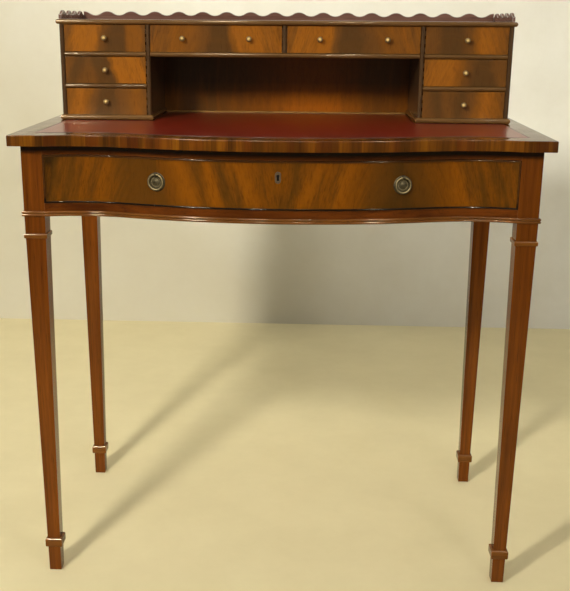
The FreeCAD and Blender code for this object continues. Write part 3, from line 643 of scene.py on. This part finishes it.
@dataclass(frozen=True)
class LiningWood(Finish):
    """Plain waxed wood of the drawer boxes and runners."""

    name: str
    grain: Grain

    def make(self) -> bpy.types.Material:
        """Lay out the pale grain and its pores.

        Returns:
            The new material.
        """
        w = Wiring(self.name)
        figure = w.noise(w.place(self.grain.value), 60, 5, 0.6, 0.8)
        pores = w.noise(w.place(self.grain.finer(0.5), (1.1, 2.7, 0.3)), 1100, 2, 0.5)
        pores = w.span(pores, 0.58, 0.7)
        dust = w.noise(w.place(shift=(4, 4, 4)), 9, 3)
        colour = w.ramp(figure, [(0.32, shade(146, 104, 60)), (0.68, shade(186, 146, 96))])
        colour = w.lay(pores, 0.5, colour, shade(88, 56, 28))
        colour = w.mix(w.span(dust, 0.45, 0.75, 0.0, 0.4), colour, shade(120, 84, 48))
        w.surface(base_color=colour, roughness=w.span(figure, 0.3, 0.7, 0.5, 0.66))
        w.emboss(pores, -0.00008, 0.6)
        return w.material


@dataclass(frozen=True)
class FiledSteel(Finish):
    """Filed steel of the drawer lock."""

    name: str

    def make(self) -> bpy.types.Material:
        """Lay out the steel, its file marks and its rust bloom.

        Returns:
            The new material.
        """
        w = Wiring(self.name)
        marks = w.noise(w.place((0.06, 1, 1)), 2200, 2, 0.6)
        bloom = w.noise(w.place(), 120, 4, 0.6)
        colour = w.mix(w.span(bloom, 0.5, 0.75, 0.0, 0.6), shade(112, 110, 106), shade(74, 56, 42))
        w.surface(base_color=colour, metallic=1.0, roughness=w.span(bloom, 0.35, 0.7, 0.3, 0.55))
        w.emboss(marks, 0.00003, 0.5)
        return w.material


SHADOW_UNDER_TOP = (0.732, 0.7375)  # heights in metres of the painted shadow that the top's overhang casts on the frieze
# heights in metres of the painted shadow line along the lower cock bead, under the drawer
SHADOW_UNDER_DRAWER = (0.667, 0.660)
LEG_WOOD = Mahogany("leg_mahogany", Grain.UPRIGHT, shade(80, 36, 7), shade(130, 70, 15), grimed=SHADOW_UNDER_TOP)
RAIL_WOOD = Mahogany("rail_mahogany", Grain.ACROSS, shade(70, 31, 7), shade(118, 60, 14), grimed=SHADOW_UNDER_TOP)
SIDE_WOOD = Mahogany("side_mahogany", Grain.DEEP, shade(70, 30, 7), shade(118, 60, 15), grimed=SHADOW_UNDER_TOP)
CASE_WOOD = Mahogany("case_mahogany", Grain.ACROSS, shade(88, 61, 31), shade(126, 90, 47), polish=0.07)
CASE_SIDE_WOOD = Mahogany("case_side_mahogany", Grain.UPRIGHT, shade(64, 46, 28), shade(96, 68, 40))
BEAD_WOOD = Mahogany("bead_mahogany", Grain.ACROSS, shade(92, 52, 16), shade(134, 82, 30), polish=0.08)
# paler wood on the bead at the foot of the back panel: a painted highlight along its nose
HIGHLIT_BEAD_WOOD = Mahogany("foot_bead_painted_highlight", Grain.ACROSS, shade(126, 90, 44), shade(172, 132, 74),
                          polish=0.08)
PLINTH_WOOD = Mahogany("plinth_mahogany", Grain.ACROSS, shade(90, 62, 30), shade(130, 92, 48), polish=0.08)
# the lower bead carries the painted shadow line under the drawer
COCK_BEAD_WOOD = Mahogany("cock_bead_mahogany", Grain.ACROSS, shade(58, 33, 11), shade(88, 52, 18),
                          polish=0.06, grimed=SHADOW_UNDER_DRAWER)
# the pale grey laid on the gallery's eased edges is a painted reflection of the sky on its crests
GALLERY_WOOD = Mahogany("gallery_mahogany", Grain.ACROSS, shade(92, 62, 52), shade(128, 93, 80),
                        shade(172, 162, 156))
# the third colour is the painted highlight laid on the knobs' crowns
KNOB_BRASS = Brass("knob_brass", (0.26, 0.165, 0.045, 1), (0.17, 0.105, 0.028, 1),
                   (0.46, 0.31, 0.095, 1), 0.52, 0.45)
PLATE_BRASS = Brass("plate_brass", (0.08, 0.062, 0.03, 1), (0.03, 0.024, 0.011, 1),
                    (0.18, 0.14, 0.072, 1), 0.48, 0.85)
RING_BRASS = Brass("ring_brass", (0.22, 0.17, 0.083, 1), (0.115, 0.088, 0.042, 1),
                   (0.27, 0.21, 0.105, 1), 0.46, 0.85)
ESCUTCHEON_BRASS = Brass("escutcheon_brass", (0.1, 0.06, 0.021, 1), (0.058, 0.033, 0.012, 1),
                         (0.16, 0.1, 0.04, 1), 0.42, 0.5)
LINING_WOOD = LiningWood("lining_wood", Grain.DEEP)
LOCK_STEEL = FiledSteel("filed_steel")
WRITING_LEATHER = Leather("writing_leather_red", shade(117, 26, 6), shade(139, 37, 9))
TOOLED_LEATHER = Leather("tooled_leather", shade(30, 9, 5), shade(48, 15, 8))


def put(name: str, data: bpy.types.ID) -> bpy.types.Object:
    """A new object in the scene.

    Args:
        name: The object's name.
        data: Its mesh, lamp or lens.

    Returns:
        The new object.
    """
    thing = bpy.data.objects.new(name, data)
    bpy.context.scene.collection.objects.link(thing)
    return thing


def settled(carrier: bpy.types.Object) -> bpy.types.Mesh:
    """What an object's modifiers make of it.

    Args:
        carrier: The object.

    Returns:
        The result as a plain mesh.
    """
    bpy.context.view_layer.update()
    seen = carrier.evaluated_get(bpy.context.evaluated_depsgraph_get())
    return bpy.data.meshes.new_from_object(seen)


def finish_piece(mesh: bpy.types.Mesh, name: str, body: str, finish: Finish,
                 stands_for: Sequence[str] = ()) -> bpy.types.Object:
    """Give a mesh its finish and let it ride on its body.

    Args:
        mesh: The piece's mesh, in place.
        name: The piece's name.
        body: The body it moves with.
        finish: Its finish.
        stands_for: CAD nodes that it replaces.

    Returns:
        The new object.
    """
    mesh.materials.clear()
    mesh.materials.append(finish.material())
    piece = put(name, mesh)
    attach(piece, body)
    if stands_for:
        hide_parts(*stands_for)
    log.info("%s rides on %s", name, body)
    return piece


def mark_eased_edges(mesh: bpy.types.Mesh) -> None:
    """Write which faces are eased edges, for the worn polish and the gallery's painted highlight, and leave
    one finish on the mesh.

    Args:
        mesh: The mesh, whose eased edges lie in its second slot.
    """
    slots = [0] * len(mesh.polygons)
    mesh.polygons.foreach_get("material_index", slots)
    layer = mesh.attributes.new("wear", "FLOAT", "FACE")
    layer.data.foreach_set("value", [float(slot) for slot in slots])
    mesh.polygons.foreach_set("material_index", [0] * len(slots))


def joined(node: str) -> bmesh.types.BMesh:
    """A copy of a CAD node with its corners welded and its flat triangles joined.

    Args:
        node: The CAD node's name.

    Returns:
        The shape, which the caller frees.
    """
    shape = bmesh.new()
    shape.from_mesh(frame["nodes"][node].data)
    bmesh.ops.remove_doubles(shape, verts=shape.verts, dist=WELD)
    bmesh.ops.dissolve_limit(shape, angle_limit=FLAT, verts=shape.verts, edges=shape.edges)
    return shape


def softened(node: str, arris: float, steps: int = 2) -> bpy.types.Mesh:
    """A copy of a CAD node with its triangles joined and its sharp edges eased.

    Args:
        node: The CAD node's name.
        arris: Width of the easing in metres, or 0 for none.
        steps: Faces across the easing.

    Returns:
        The new mesh, with smooth shading and its eased edges marked.
    """
    shape = joined(node)
    mesh = bpy.data.meshes.new(f"{node}_soft")
    shape.to_mesh(mesh)
    shape.free()
    mesh.polygons.foreach_set("material_index", [0] * len(mesh.polygons))
    mesh.shade_smooth()
    mesh.set_sharp_from_angle(angle=CREASE)
    if arris:
        mesh.materials.clear()
        mesh.materials.append(None)
        mesh.materials.append(None)
        carrier = put("carrier", mesh)
        easing = carrier.modifiers.new("easing", "BEVEL")
        easing.width = arris
        easing.segments = steps
        easing.limit_method = "ANGLE"
        easing.angle_limit = CREASE
        easing.harden_normals = True
        easing.material = 1
        eased = settled(carrier)
        bpy.data.objects.remove(carrier)
        bpy.data.meshes.remove(mesh)
        mesh = eased
    mesh.name = f"{node}_mesh"
    mark_eased_edges(mesh)
    return mesh


def paint_crown_highlights(mesh: bpy.types.Mesh, knobs: int, core: float = 0.3, rim: float = 0.75) -> None:
    """Paint the crowns of knobs bright, fading to the rim: a painted highlight on each dome.

    Args:
        mesh: The mesh of one knob, or of two side by side.
        knobs: How many knobs it holds.
        core: Share of the radius that has the full painted highlight.
        rim: Share of the radius beyond which no highlight is painted.
    """
    across = [corner.co.x for corner in mesh.vertices]
    up = [corner.co.z for corner in mesh.vertices]
    radius = (max(up) - min(up)) / 2
    level = (max(up) + min(up)) / 2
    middles = [min(across) + radius, max(across) - radius][:knobs]
    for face, mark in zip(mesh.polygons, mesh.attributes["wear"].data):
        spot = face.center
        away = min(math.hypot(spot.x - middle, spot.z - level) for middle in middles) / radius
        mark.value = min(1.0, max(0.0, (rim - away) / (rim - core)))


def dress(node: str, finish: Finish, arris: float = 0.0005, steps: int = 2) -> bpy.types.Object:
    """Replace a CAD node by its softened and finished copy.

    Args:
        node: The CAD node's name.
        finish: Its finish.
        arris: Width of the eased edges in metres.
        steps: Faces across an eased edge.

    Returns:
        The new object.
    """
    bodies = frame["record"]["behaviour"]["bodies"]
    body = next(name for name, members in bodies.items() if node in members)
    mesh = softened(node, arris, steps)
    return finish_piece(mesh, f"{node}_dressed", body, finish, [node])


class Growth:
    """Small work grown along a path by a geometry tree, with a named input for each of its sizes."""

    def lay_out(self, nodes: Nodes, inlet: bpy.types.NodeOutputs) -> Socket:
        """Lay out the nodes from the path to the bare shape.

        Args:
            nodes: The geometry tree's nodes.
            inlet: The tree's inputs.

        Returns:
            The shape's socket.
        """
        raise NotImplementedError

    def plant(self) -> bpy.types.NodeTree:
        """The whole tree, from the path to the finished shape.

        Returns:
            The new geometry tree.
        """
        tree = bpy.data.node_groups.new(type(self).__name__, "GeometryNodeTree")
        ports = {"path": "Geometry"}
        for size in fields(self):
            ports[size.name] = "Int" if isinstance(getattr(self, size.name), int) else "Float"
        ports["finish"] = "Material"
        for name, kind in ports.items():
            tree.interface.new_socket(name, in_out="INPUT", socket_type=f"NodeSocket{kind}")
        tree.interface.new_socket("shape", in_out="OUTPUT", socket_type="NodeSocketGeometry")
        nodes = Nodes(tree)
        inlet = nodes.add("NodeGroupInput").outputs
        shape = self.lay_out(nodes, inlet)
        real = nodes.add("GeometryNodeRealizeInstances", Geometry=shape).outputs[0]
        coated = nodes.add("GeometryNodeSetMaterial", Geometry=real, Material=inlet["finish"])
        nodes.add("NodeGroupOutput", shape=coated.outputs[0])
        return tree

    def grow(self, path: bpy.types.Mesh, finish: Finish) -> bpy.types.Mesh:
        """Grow the work along a path.

        Args:
            path: The path as a mesh of edges.
            finish: The work's finish.

        Returns:
            The work as a plain mesh.
        """
        tree = self.plant()
        values = {size.name: getattr(self, size.name) for size in fields(self)}
        values["finish"] = finish.material()
        carrier = put("carrier", path)
        growth = carrier.modifiers.new("growth", "NODES")
        growth.node_group = tree
        for port in tree.interface.items_tree:
            if port.in_out == "INPUT" and port.name in values:
                growth[port.identifier] = values[port.name]
        work = settled(carrier)
        carrier.modifiers.remove(growth)
        bpy.data.objects.remove(carrier)
        bpy.data.meshes.remove(path)
        return work


@dataclass(frozen=True)
class BeadRow(Growth):
    """A row of small round beads."""

    radius: float
    count: int

    def lay_out(self, nodes: Nodes, inlet: bpy.types.NodeOutputs) -> Socket:
        """Set one bead at each of the points that part the path evenly.

        Args:
            nodes: The geometry tree's nodes.
            inlet: The tree's inputs.

        Returns:
            The shape's socket.
        """
        curve = nodes.add("GeometryNodeMeshToCurve", Mesh=inlet["path"]).outputs[0]
        points = nodes.add("GeometryNodeCurveToPoints", Curve=curve, Count=inlet["count"]).outputs[0]
        bead = nodes.add("GeometryNodeMeshIcoSphere", Radius=inlet["radius"], Subdivisions=2).outputs[0]
        smooth = nodes.add("GeometryNodeSetShadeSmooth", Geometry=bead).outputs[0]
        return nodes.add("GeometryNodeInstanceOnPoints", Points=points, Instance=smooth).outputs[0]


@dataclass(frozen=True)
class LaidLine(Growth):
    """A flat line laid along the path."""

    width: float
    height: float

    def lay_out(self, nodes: Nodes, inlet: bpy.types.NodeOutputs) -> Socket:
        """Carry a small rectangle along the path, held upright.

        Args:
            nodes: The geometry tree's nodes.
            inlet: The tree's inputs.

        Returns:
            The shape's socket.
        """
        curve = nodes.add("GeometryNodeMeshToCurve", Mesh=inlet["path"]).outputs[0]
        upright = nodes.add("GeometryNodeSetCurveNormal", Curve=curve)
        upright.mode = "Z_UP"
        section = nodes.add("GeometryNodeCurvePrimitiveQuadrilateral", Width=inlet["width"],
                            Height=inlet["height"])
        swept = nodes.add("GeometryNodeCurveToMesh", Curve=upright.outputs[0],
                          Profile_Curve=section.outputs[0])
        return swept.outputs[0]


@dataclass
class WritingTop:
    """The writing top: its crossbanded board and the leather let into it."""

    front_border: float = 0.044
    side_border: float = 0.033
    leg_side_front: float = -0.218
    line_inset: float = 0.0022
    line_width: float = 0.0018
    line_height: float = 0.0003
    board_arris: float = 0.0003
    leather_arris: float = 0.0004

    def line_path(self) -> bpy.types.Mesh:
        """The leather's outline, a little inside its edge.

        Returns:
            The path as a mesh of edges.
        """
        shape = joined("writing_leather")
        face = max(shape.faces, key=lambda side: side.normal.z * side.calc_area())
        corners = [corner.co.copy() for corner in face.verts]
        shape.free()
        inner = []
        for before, here, after in zip(corners[-1:] + corners[:-1], corners, corners[1:] + corners[:1]):
            first, second = (here - before).normalized(), (after - here).normalized()
            inward = Vector((-first.y - second.y, first.x + second.x, 0))
            inner.append(here + inward * self.line_inset / (1 + first.dot(second)))
        path = bpy.data.meshes.new("line_path")
        path.from_pydata(inner, [(count, (count + 1) % len(inner)) for count in range(len(inner))], [])
        return path

    def build(self) -> None:
        """Dress the board, lay the leather and tool its border."""
        _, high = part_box("writing_top")
        banding = Crossbanding("crossbanding", high.x, self.leg_side_front, self.side_border,
                               self.front_border)
        dress("writing_top", banding, self.board_arris)
        dress("writing_leather", WRITING_LEATHER, self.leather_arris)
        line = LaidLine(self.line_width, self.line_height).grow(self.line_path(), TOOLED_LEATHER)
        finish_piece(line, "tooled_line", "carcase", TOOLED_LEATHER)


@dataclass
class Understructure:
    """The legs, their collars, the frieze boards, rails and moulding."""

    legs: tuple[str, ...] = ("front_left_leg", "front_right_leg", "rear_left_leg", "rear_right_leg")
    aprons: tuple[str, ...] = ("left_apron", "right_apron")
    rails: tuple[str, ...] = ("back_apron", "drawer_top_rail", "drawer_bottom_rail")
    leg_arris: float = 0.0008
    collar_arris: float = 0.0012
    foot_arris: float = 0.0014
    collar_steps: int = 3
    moulding_arris: float = 0.0003
    runner_arris: float = 0.0004

    def build(self) -> None:
        """Dress every piece below the writing top."""
        for leg in self.legs:
            dress(leg, LEG_WOOD, self.leg_arris)
        dress("upper_leg_collars", BEAD_WOOD, self.collar_arris, self.collar_steps)
        dress("foot_collars", BEAD_WOOD, self.foot_arris, self.collar_steps)
        for board in self.aprons:
            dress(board, SIDE_WOOD)
        for board in self.rails:
            dress(board, RAIL_WOOD)
        dress("frieze_moulding", BEAD_WOOD, self.moulding_arris)
        dress("drawer_runners", LINING_WOOD, self.runner_arris)


@dataclass
class Superstructure:
    """The case of little drawers on the back of the writing top."""

    uprights: tuple[str, ...] = ("left_outer_side", "right_outer_side", "left_inner_upright",
                                 "right_inner_upright", "centre_divider")
    boards: tuple[str, ...] = ("centre_shelf", "drawer_blades", "superstructure_top")
    # veneer tones that also paint the light: golden in the middle, where both lamps reach between the
    # uprights, and dark towards the ends in their shadows
    tones: Tones = told("umber 0, smoke 30, umber 39, amber 47, ember 53, ember 60, amber 67, umber 70, "
                        "umber 100")
    lean: float = 0.0
    crotch: float = 1.5
    seed: float = 2.6
    stain: Colour = (1.0, 0.79, 0.36, 1.0)
    vivid: float = 0.4
    # heights in metres above which the panel is darkened: the painted shadow of the centre shelf
    under_shelf: Span = (0.79, 0.82)
    arris: float = 0.0004
    panel_arris: float = 0.0005
    gallery_arris: float = 0.001

    def build(self) -> None:
        """Dress the boards of the case, its back and its gallery."""
        for board in self.uprights:
            dress(board, CASE_SIDE_WOOD, self.arris)
        for board in self.boards:
            dress(board, CASE_WOOD, self.arris)
        low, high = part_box("back_panel")
        veneer = FlameVeneer("panel_veneer", low, high, self.tones, self.lean, (self.crotch,), self.seed,
                             self.stain, self.vivid, grimed=self.under_shelf)
        dress("back_panel", veneer, self.panel_arris)
        dress("plinth_boards", PLINTH_WOOD, self.arris)
        # the bead at the foot of the panel takes the paler wood of its painted highlight
        dress("pigeonhole_bead", HIGHLIT_BEAD_WOOD, self.arris)
        dress("gallery", GALLERY_WOOD, self.gallery_arris)


@dataclass
class FriezeDrawer:
    """The serpentine drawer with its cock bead, lock and ring pulls."""

    tones: Tones = told("soot 0, umber 3, umber 5.5, amber 8, amber 12, umber 16, umber 24, amber 27, "
                        "ember 31, umber 33.8, ember 36, umber 39.5, ember 42.5, amber 46, amber 50, "
                        "umber 53.2, ember 56.5, amber 60, ember 63, amber 67, umber 71, smoke 75, "
                        "umber 79, amber 83, ember 88.5, umber 92, amber 94, smoke 96.3, amber 98.5, "
                        "umber 100")
    lean: float = 0.3
    crotch: float = 0.19
    seed: float = 1.3
    stain: Colour = (0.72, 0.65, 0.3, 1.0)
    pull: Place = (0.19, -0.20982, 0.6924)
    slant: float = 13.911
    bead_circle: float = 0.0074
    bead_radius: float = 0.0008
    bead_count: int = 22
    sounding: float = 0.02
    wood_arris: float = 0.0004
    brass_arris: float = 0.0002
    steel_arris: float = 0.0003

    def bead_path(self) -> bpy.types.Mesh:
        """A circle on the face of each pull's plate.

        Returns:
            The path as a mesh of edges.
        """
        shape = bmesh.new()
        shape.from_mesh(frame["nodes"]["ring_plates"].data)
        plates = BVHTree.FromBMesh(shape)
        shape.free()
        lean = math.radians(self.slant)
        up = Vector((0, 0, 1))
        places, edges = [], []
        for side in (-1, 1):
            outward = Vector((side * math.sin(lean), -math.cos(lean), 0))
            along = outward.cross(up)
            middle = Vector((side * self.pull[0], *self.pull[1:]))
            first = len(places)
            for count in range(self.bead_count):
                turn = math.tau * count / self.bead_count
                spot = middle + (along * math.cos(turn) + up * math.sin(turn)) * self.bead_circle
                places.append(plates.ray_cast(spot + outward * self.sounding, -outward)[0])
                edges.append((first + count, first + (count + 1) % self.bead_count))
        path = bpy.data.meshes.new("bead_path")
        path.from_pydata(places, edges, [])
        return path

    def build(self) -> None:
        """Dress the drawer and its metalwork."""
        low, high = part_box("main_drawer_front")
        veneer = FlameVeneer("main_drawer_flame", low, high, self.tones, self.lean,
                             (-self.crotch, self.crotch), self.seed, self.stain)
        dress("main_drawer_front", veneer, self.wood_arris)
        dress("main_drawer_cock_bead", COCK_BEAD_WOOD, 0.0)
        dress("main_drawer_box", LINING_WOOD, self.wood_arris)
        dress("ring_plates", PLATE_BRASS, self.brass_arris)
        dress("keyhole_escutcheon", ESCUTCHEON_BRASS, self.brass_arris)
        for node in ("left_ring", "right_ring"):
            dress(node, RING_BRASS, self.brass_arris)
        beads = BeadRow(self.bead_radius, self.bead_count).grow(self.bead_path(), RING_BRASS)
        finish_piece(beads, "plate_beads", "main_drawer", RING_BRASS)
        for node in ("lock_case", "lock_bolt"):
            dress(node, LOCK_STEEL, self.steel_arris)


@dataclass(frozen=True)
class Figure:
    """The veneer figure of one small drawer: its tones in words, how they lean, and its crotch's place."""

    words: str
    lean: float
    crotch: float


@dataclass
class SmallDrawers:
    """The eight little drawers, each with its own leaf of veneer."""

    figures: dict[str, Figure] = field(default_factory=lambda: {
        "upper_left": Figure("umber 0, amber 6, ember 15, ember 36, umber 43, smoke 56, smoke 70, "
                             "amber 80, amber 95, umber 100", 0.1, 0.66),
        "middle_left": Figure("umber 0, smoke 15, umber 28, smoke 38, smoke 54, amber 59, ember 63, "
                              "ember 94, amber 100", 0.26, 0.3),
        "lower_left": Figure("amber 0, ember 12, amber 28, umber 34, smoke 42, smoke 55, umber 68, "
                             "amber 85, umber 100", 0.14, 0.6),
        "centre_left": Figure("umber 0, amber 8, amber 30, umber 42, smoke 48, smoke 60, amber 64.5, "
                              "ember 68, ember 90, amber 100", 0.32, 0.5),
        "upper_right": Figure("umber 0, umber 12, smoke 25, smoke 42, umber 56, amber 63, ember 72, "
                              "amber 92, umber 100", 0.04, 0.3),
        "middle_right": Figure("amber 0, ember 8, ember 34, amber 42, umber 52, smoke 68, smoke 80, "
                               "umber 90, umber 100", 0.26, 0.68),
        "lower_right": Figure("umber 0, smoke 20, umber 30, smoke 45, umber 58, amber 67, ember 76, "
                              "amber 90, umber 100", -0.14, 0.35),
        "centre_right": Figure("amber 0, ember 6, ember 32, umber 37, smoke 42, smoke 52, umber 66, "
                               "amber 78, amber 100", 0.16, 0.5),
    })
    first_seed: float = 4.0
    seed_step: float = 1.7
    front_arris: float = 0.0004
    box_arris: float = 0.0003
    knob_arris: float = 0.0002

    def build(self) -> None:
        """Dress each drawer's front, box and knobs."""
        for count, (place, figure) in enumerate(self.figures.items()):
            front = f"{place}_drawer_front"
            low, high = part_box(front)
            crotch = low.x + (high.x - low.x) * figure.crotch
            veneer = FlameVeneer(f"{place}_flame", low, high, told(figure.words), figure.lean, (crotch,),
                                 self.first_seed + count * self.seed_step)
            dress(front, veneer, self.front_arris)
            dress(f"{place}_drawer_box", LINING_WOOD, self.box_arris)
            pair = place.startswith("centre")
            knobs = dress(f"{place}_drawer_knobs" if pair else f"{place}_drawer_knob", KNOB_BRASS,
                          self.knob_arris)
            # paint a highlight on each knob's crown
            paint_crown_highlights(knobs.data, 2 if pair else 1)


@dataclass(frozen=True)
class Sheet:
    """A plain sheet of matt stage paper, whose colour shifts along a course."""

    name: str
    corners: tuple[Place, ...]
    near: Colour
    far: Colour
    course: Place
    reach: Span

    def paper(self) -> bpy.types.Material:
        """Lay out the shift of colour and the paper's faint clouds.

        Returns:
            The new material.
        """
        w = Wiring(f"{self.name}_paper")
        place = w.place()
        along = [w.times(part, share) for part, share in zip(w.split(place), self.course)]
        run = w.plus(along[0], w.plus(along[1], along[2]))
        colour = w.mix(w.span(run, *self.reach), self.near, self.far)
        cloud = w.noise(place, 5, 5, 0.65)
        colour = w.mix(w.span(cloud, 0.3, 0.75, 0.0, 0.16), colour, shade(150, 132, 84))
        w.surface(base_color=colour, roughness=0.85)
        w.clear_back()
        return w.material

    def spread(self) -> None:
        """Spread the sheet on the stage."""
        mesh = bpy.data.meshes.new(f"stage_{self.name}")
        mesh.from_pydata(self.corners, [], [(0, 1, 2, 3)])
        mesh.materials.append(self.paper())
        put(f"stage_{self.name}", mesh)


class Tint(Enum):
    """The colours of the lamps."""

    WARM = (1.0, 0.96, 0.88)
    COOL = (0.8, 0.91, 1.0)


@dataclass(frozen=True)
class Lamp:
    """One square lamp: an even one that lights the desk, or a small one that shows in polish alone."""

    name: str
    place: Place
    size: float
    power: float
    tint: Tint = Tint.WARM
    aim: Place = (0.0, 0.2, 0.7)
    even: bool = True

    def hang(self) -> None:
        """Hang the lamp and turn it to its aim."""
        light = bpy.data.lights.new(self.name, "AREA")
        light.size = self.size
        light.energy = self.power
        light.color = self.tint.value
        carrier = put(self.name, light)
        if self.even:
            light.use_nodes = True
            nodes = Nodes(light.node_tree)
            throw = nodes.add("ShaderNodeLightFalloff", Strength=1.0)
            nodes.feed(nodes.tree.nodes["Emission"].inputs["Strength"], throw.outputs["Constant"])
        else:
            carrier.visible_diffuse = False
        look = (Vector(self.aim) - Vector(self.place)).to_track_quat("-Z", "Y")
        carrier.matrix_world = Matrix.Translation(self.place) @ look.to_matrix().to_4x4()


@dataclass(frozen=True)
class Sky:
    """A dim sky, darker in front of the desk than round it and brighter overhead."""

    tint: Colour = (1.0, 0.97, 0.92, 1.0)
    front: float = 0.16
    round: float = 0.45
    high: float = 0.62
    rise: Span = (0.05, 0.95)

    def open(self) -> None:
        """Make the sky the scene's world."""
        world = bpy.data.worlds.new("studio_sky")
        world.use_nodes = True
        nodes = Nodes(world.node_tree)
        light = nodes.tree.nodes["Background"].inputs
        _, back, up = nodes.split(nodes.add("ShaderNodeTexCoord").outputs["Generated"])
        horizon = nodes.span(back, -1.0, 0.0, self.front, self.round)
        nodes.feed(light["Color"], self.tint)
        nodes.feed(light["Strength"], nodes.span(up, *self.rise, horizon, self.high))
        bpy.context.scene.world = world


@dataclass(frozen=True)
class View:
    """The camera, where the photograph was taken from: its turn in degrees, its picture in pixels."""

    yaw: float = 2.51237
    pitch: float = -16.98882
    roll: float = -0.38976
    stand: Place = (0.04020, -1.80246, 0.93009)
    focal: float = 1032.929
    centre: Span = (258.6255, 337.7522)
    picture: tuple[int, int] = (570, 591)
    film: float = 36.0

    def take(self) -> None:
        """Set the camera up and make it the scene's own."""
        width, height = self.picture
        lens = bpy.data.cameras.new("camera")
        lens.sensor_width = self.film
        lens.lens = self.focal / height * self.film
        lens.shift_x = (width / 2 - self.centre[0]) / height
        lens.shift_y = (self.centre[1] - height / 2) / height
        turn = Matrix.Identity(3)
        for angle, axis in ((self.yaw, "Z"), (self.pitch, "X"), (self.roll, "Y")):
            turn = turn @ Matrix.Rotation(math.radians(angle), 3, axis)
        axes = Matrix((turn.col[0], turn.col[2], -turn.col[1])).transposed()
        camera = put("camera", lens)
        camera.matrix_world = Matrix.Translation(self.stand) @ axes.to_4x4()
        bpy.context.scene.camera = camera


@dataclass
class Studio:
    """The pale floor and backdrop, the lamps, the sky and the camera."""

    half: float = 6.0
    wall: float = 1.4
    wall_height: float = 4.0
    left: Place = (-0.86, -1.6, 1.62)
    right: Place = (0.92, -1.7, 1.62)

    def sheets(self) -> tuple[Sheet, ...]:
        """The floor, darker towards the front, and the backdrop, lighter to the right and upwards.

        Returns:
            The sheets of paper.
        """
        half, wall, top = self.half, self.wall, self.wall_height
        floor = ((-half, -half, 0), (half, -half, 0), (half, half, 0), (-half, half, 0))
        backdrop = ((-half, wall, 0), (half, wall, 0), (half, wall, top), (-half, wall, top))
        return (
            # painted shade: the floor darkens towards the front, so the desk's front mirrors a dim floor
            Sheet("floor", floor, shade(217, 204, 158), shade(150, 138, 106), (0, 1, 0), (-0.8, -2.4)),
            # painted light: the backdrop is painted lighter to the right and upwards, standing in for the
            # light falling on it
            Sheet("backdrop", backdrop, shade(192, 186, 163), shade(232, 229, 216), (0.8, 0, 1), (0.0, 0.8)),
        )

    def lamps(self) -> tuple[Lamp, ...]:
        """Two soft lamps in front, cool daylight from the left, and the lamps' sparkle in the polish.

        Returns:
            The lamps.
        """
        return (
            Lamp("left_lamp", self.left, 0.26, 7.7, aim=(-1.25, 0.2, 0.7)),
            Lamp("right_lamp", self.right, 0.26, 1.0),
            Lamp("daylight", (-2.6, 0.1, 2.0), 1.4, 1.2, Tint.COOL, (0.2, 0.9, 0.8)),
            Lamp("left_sparkle", self.left, 0.06, 36.0, even=False),
            Lamp("right_sparkle", self.right, 0.06, 28.0, even=False),
            Lamp("left_glint", (-0.28, -1.6, 2.4), 0.1, 24.0, even=False),
            Lamp("right_glint", (0.19, -1.6, 2.4), 0.08, 15.0, even=False),
        )

    def build(self) -> None:
        """Set up the stage, the lamps, the sky and the camera."""
        for sheet in self.sheets():
            sheet.spread()
        for lamp in self.lamps():
            lamp.hang()
        Sky().open()
        View().take()


def main() -> None:
    """Dress the desk from the floor up and set it in the studio."""
    logging.basicConfig(level=logging.INFO)
    bpy.context.scene.view_settings.view_transform = "Standard"
    desk = (Understructure(), WritingTop(), Superstructure(), FriezeDrawer(), SmallDrawers())
    for assembly in (*desk, Studio()):
        assembly.build()


if __name__ == "__main__":
    main()
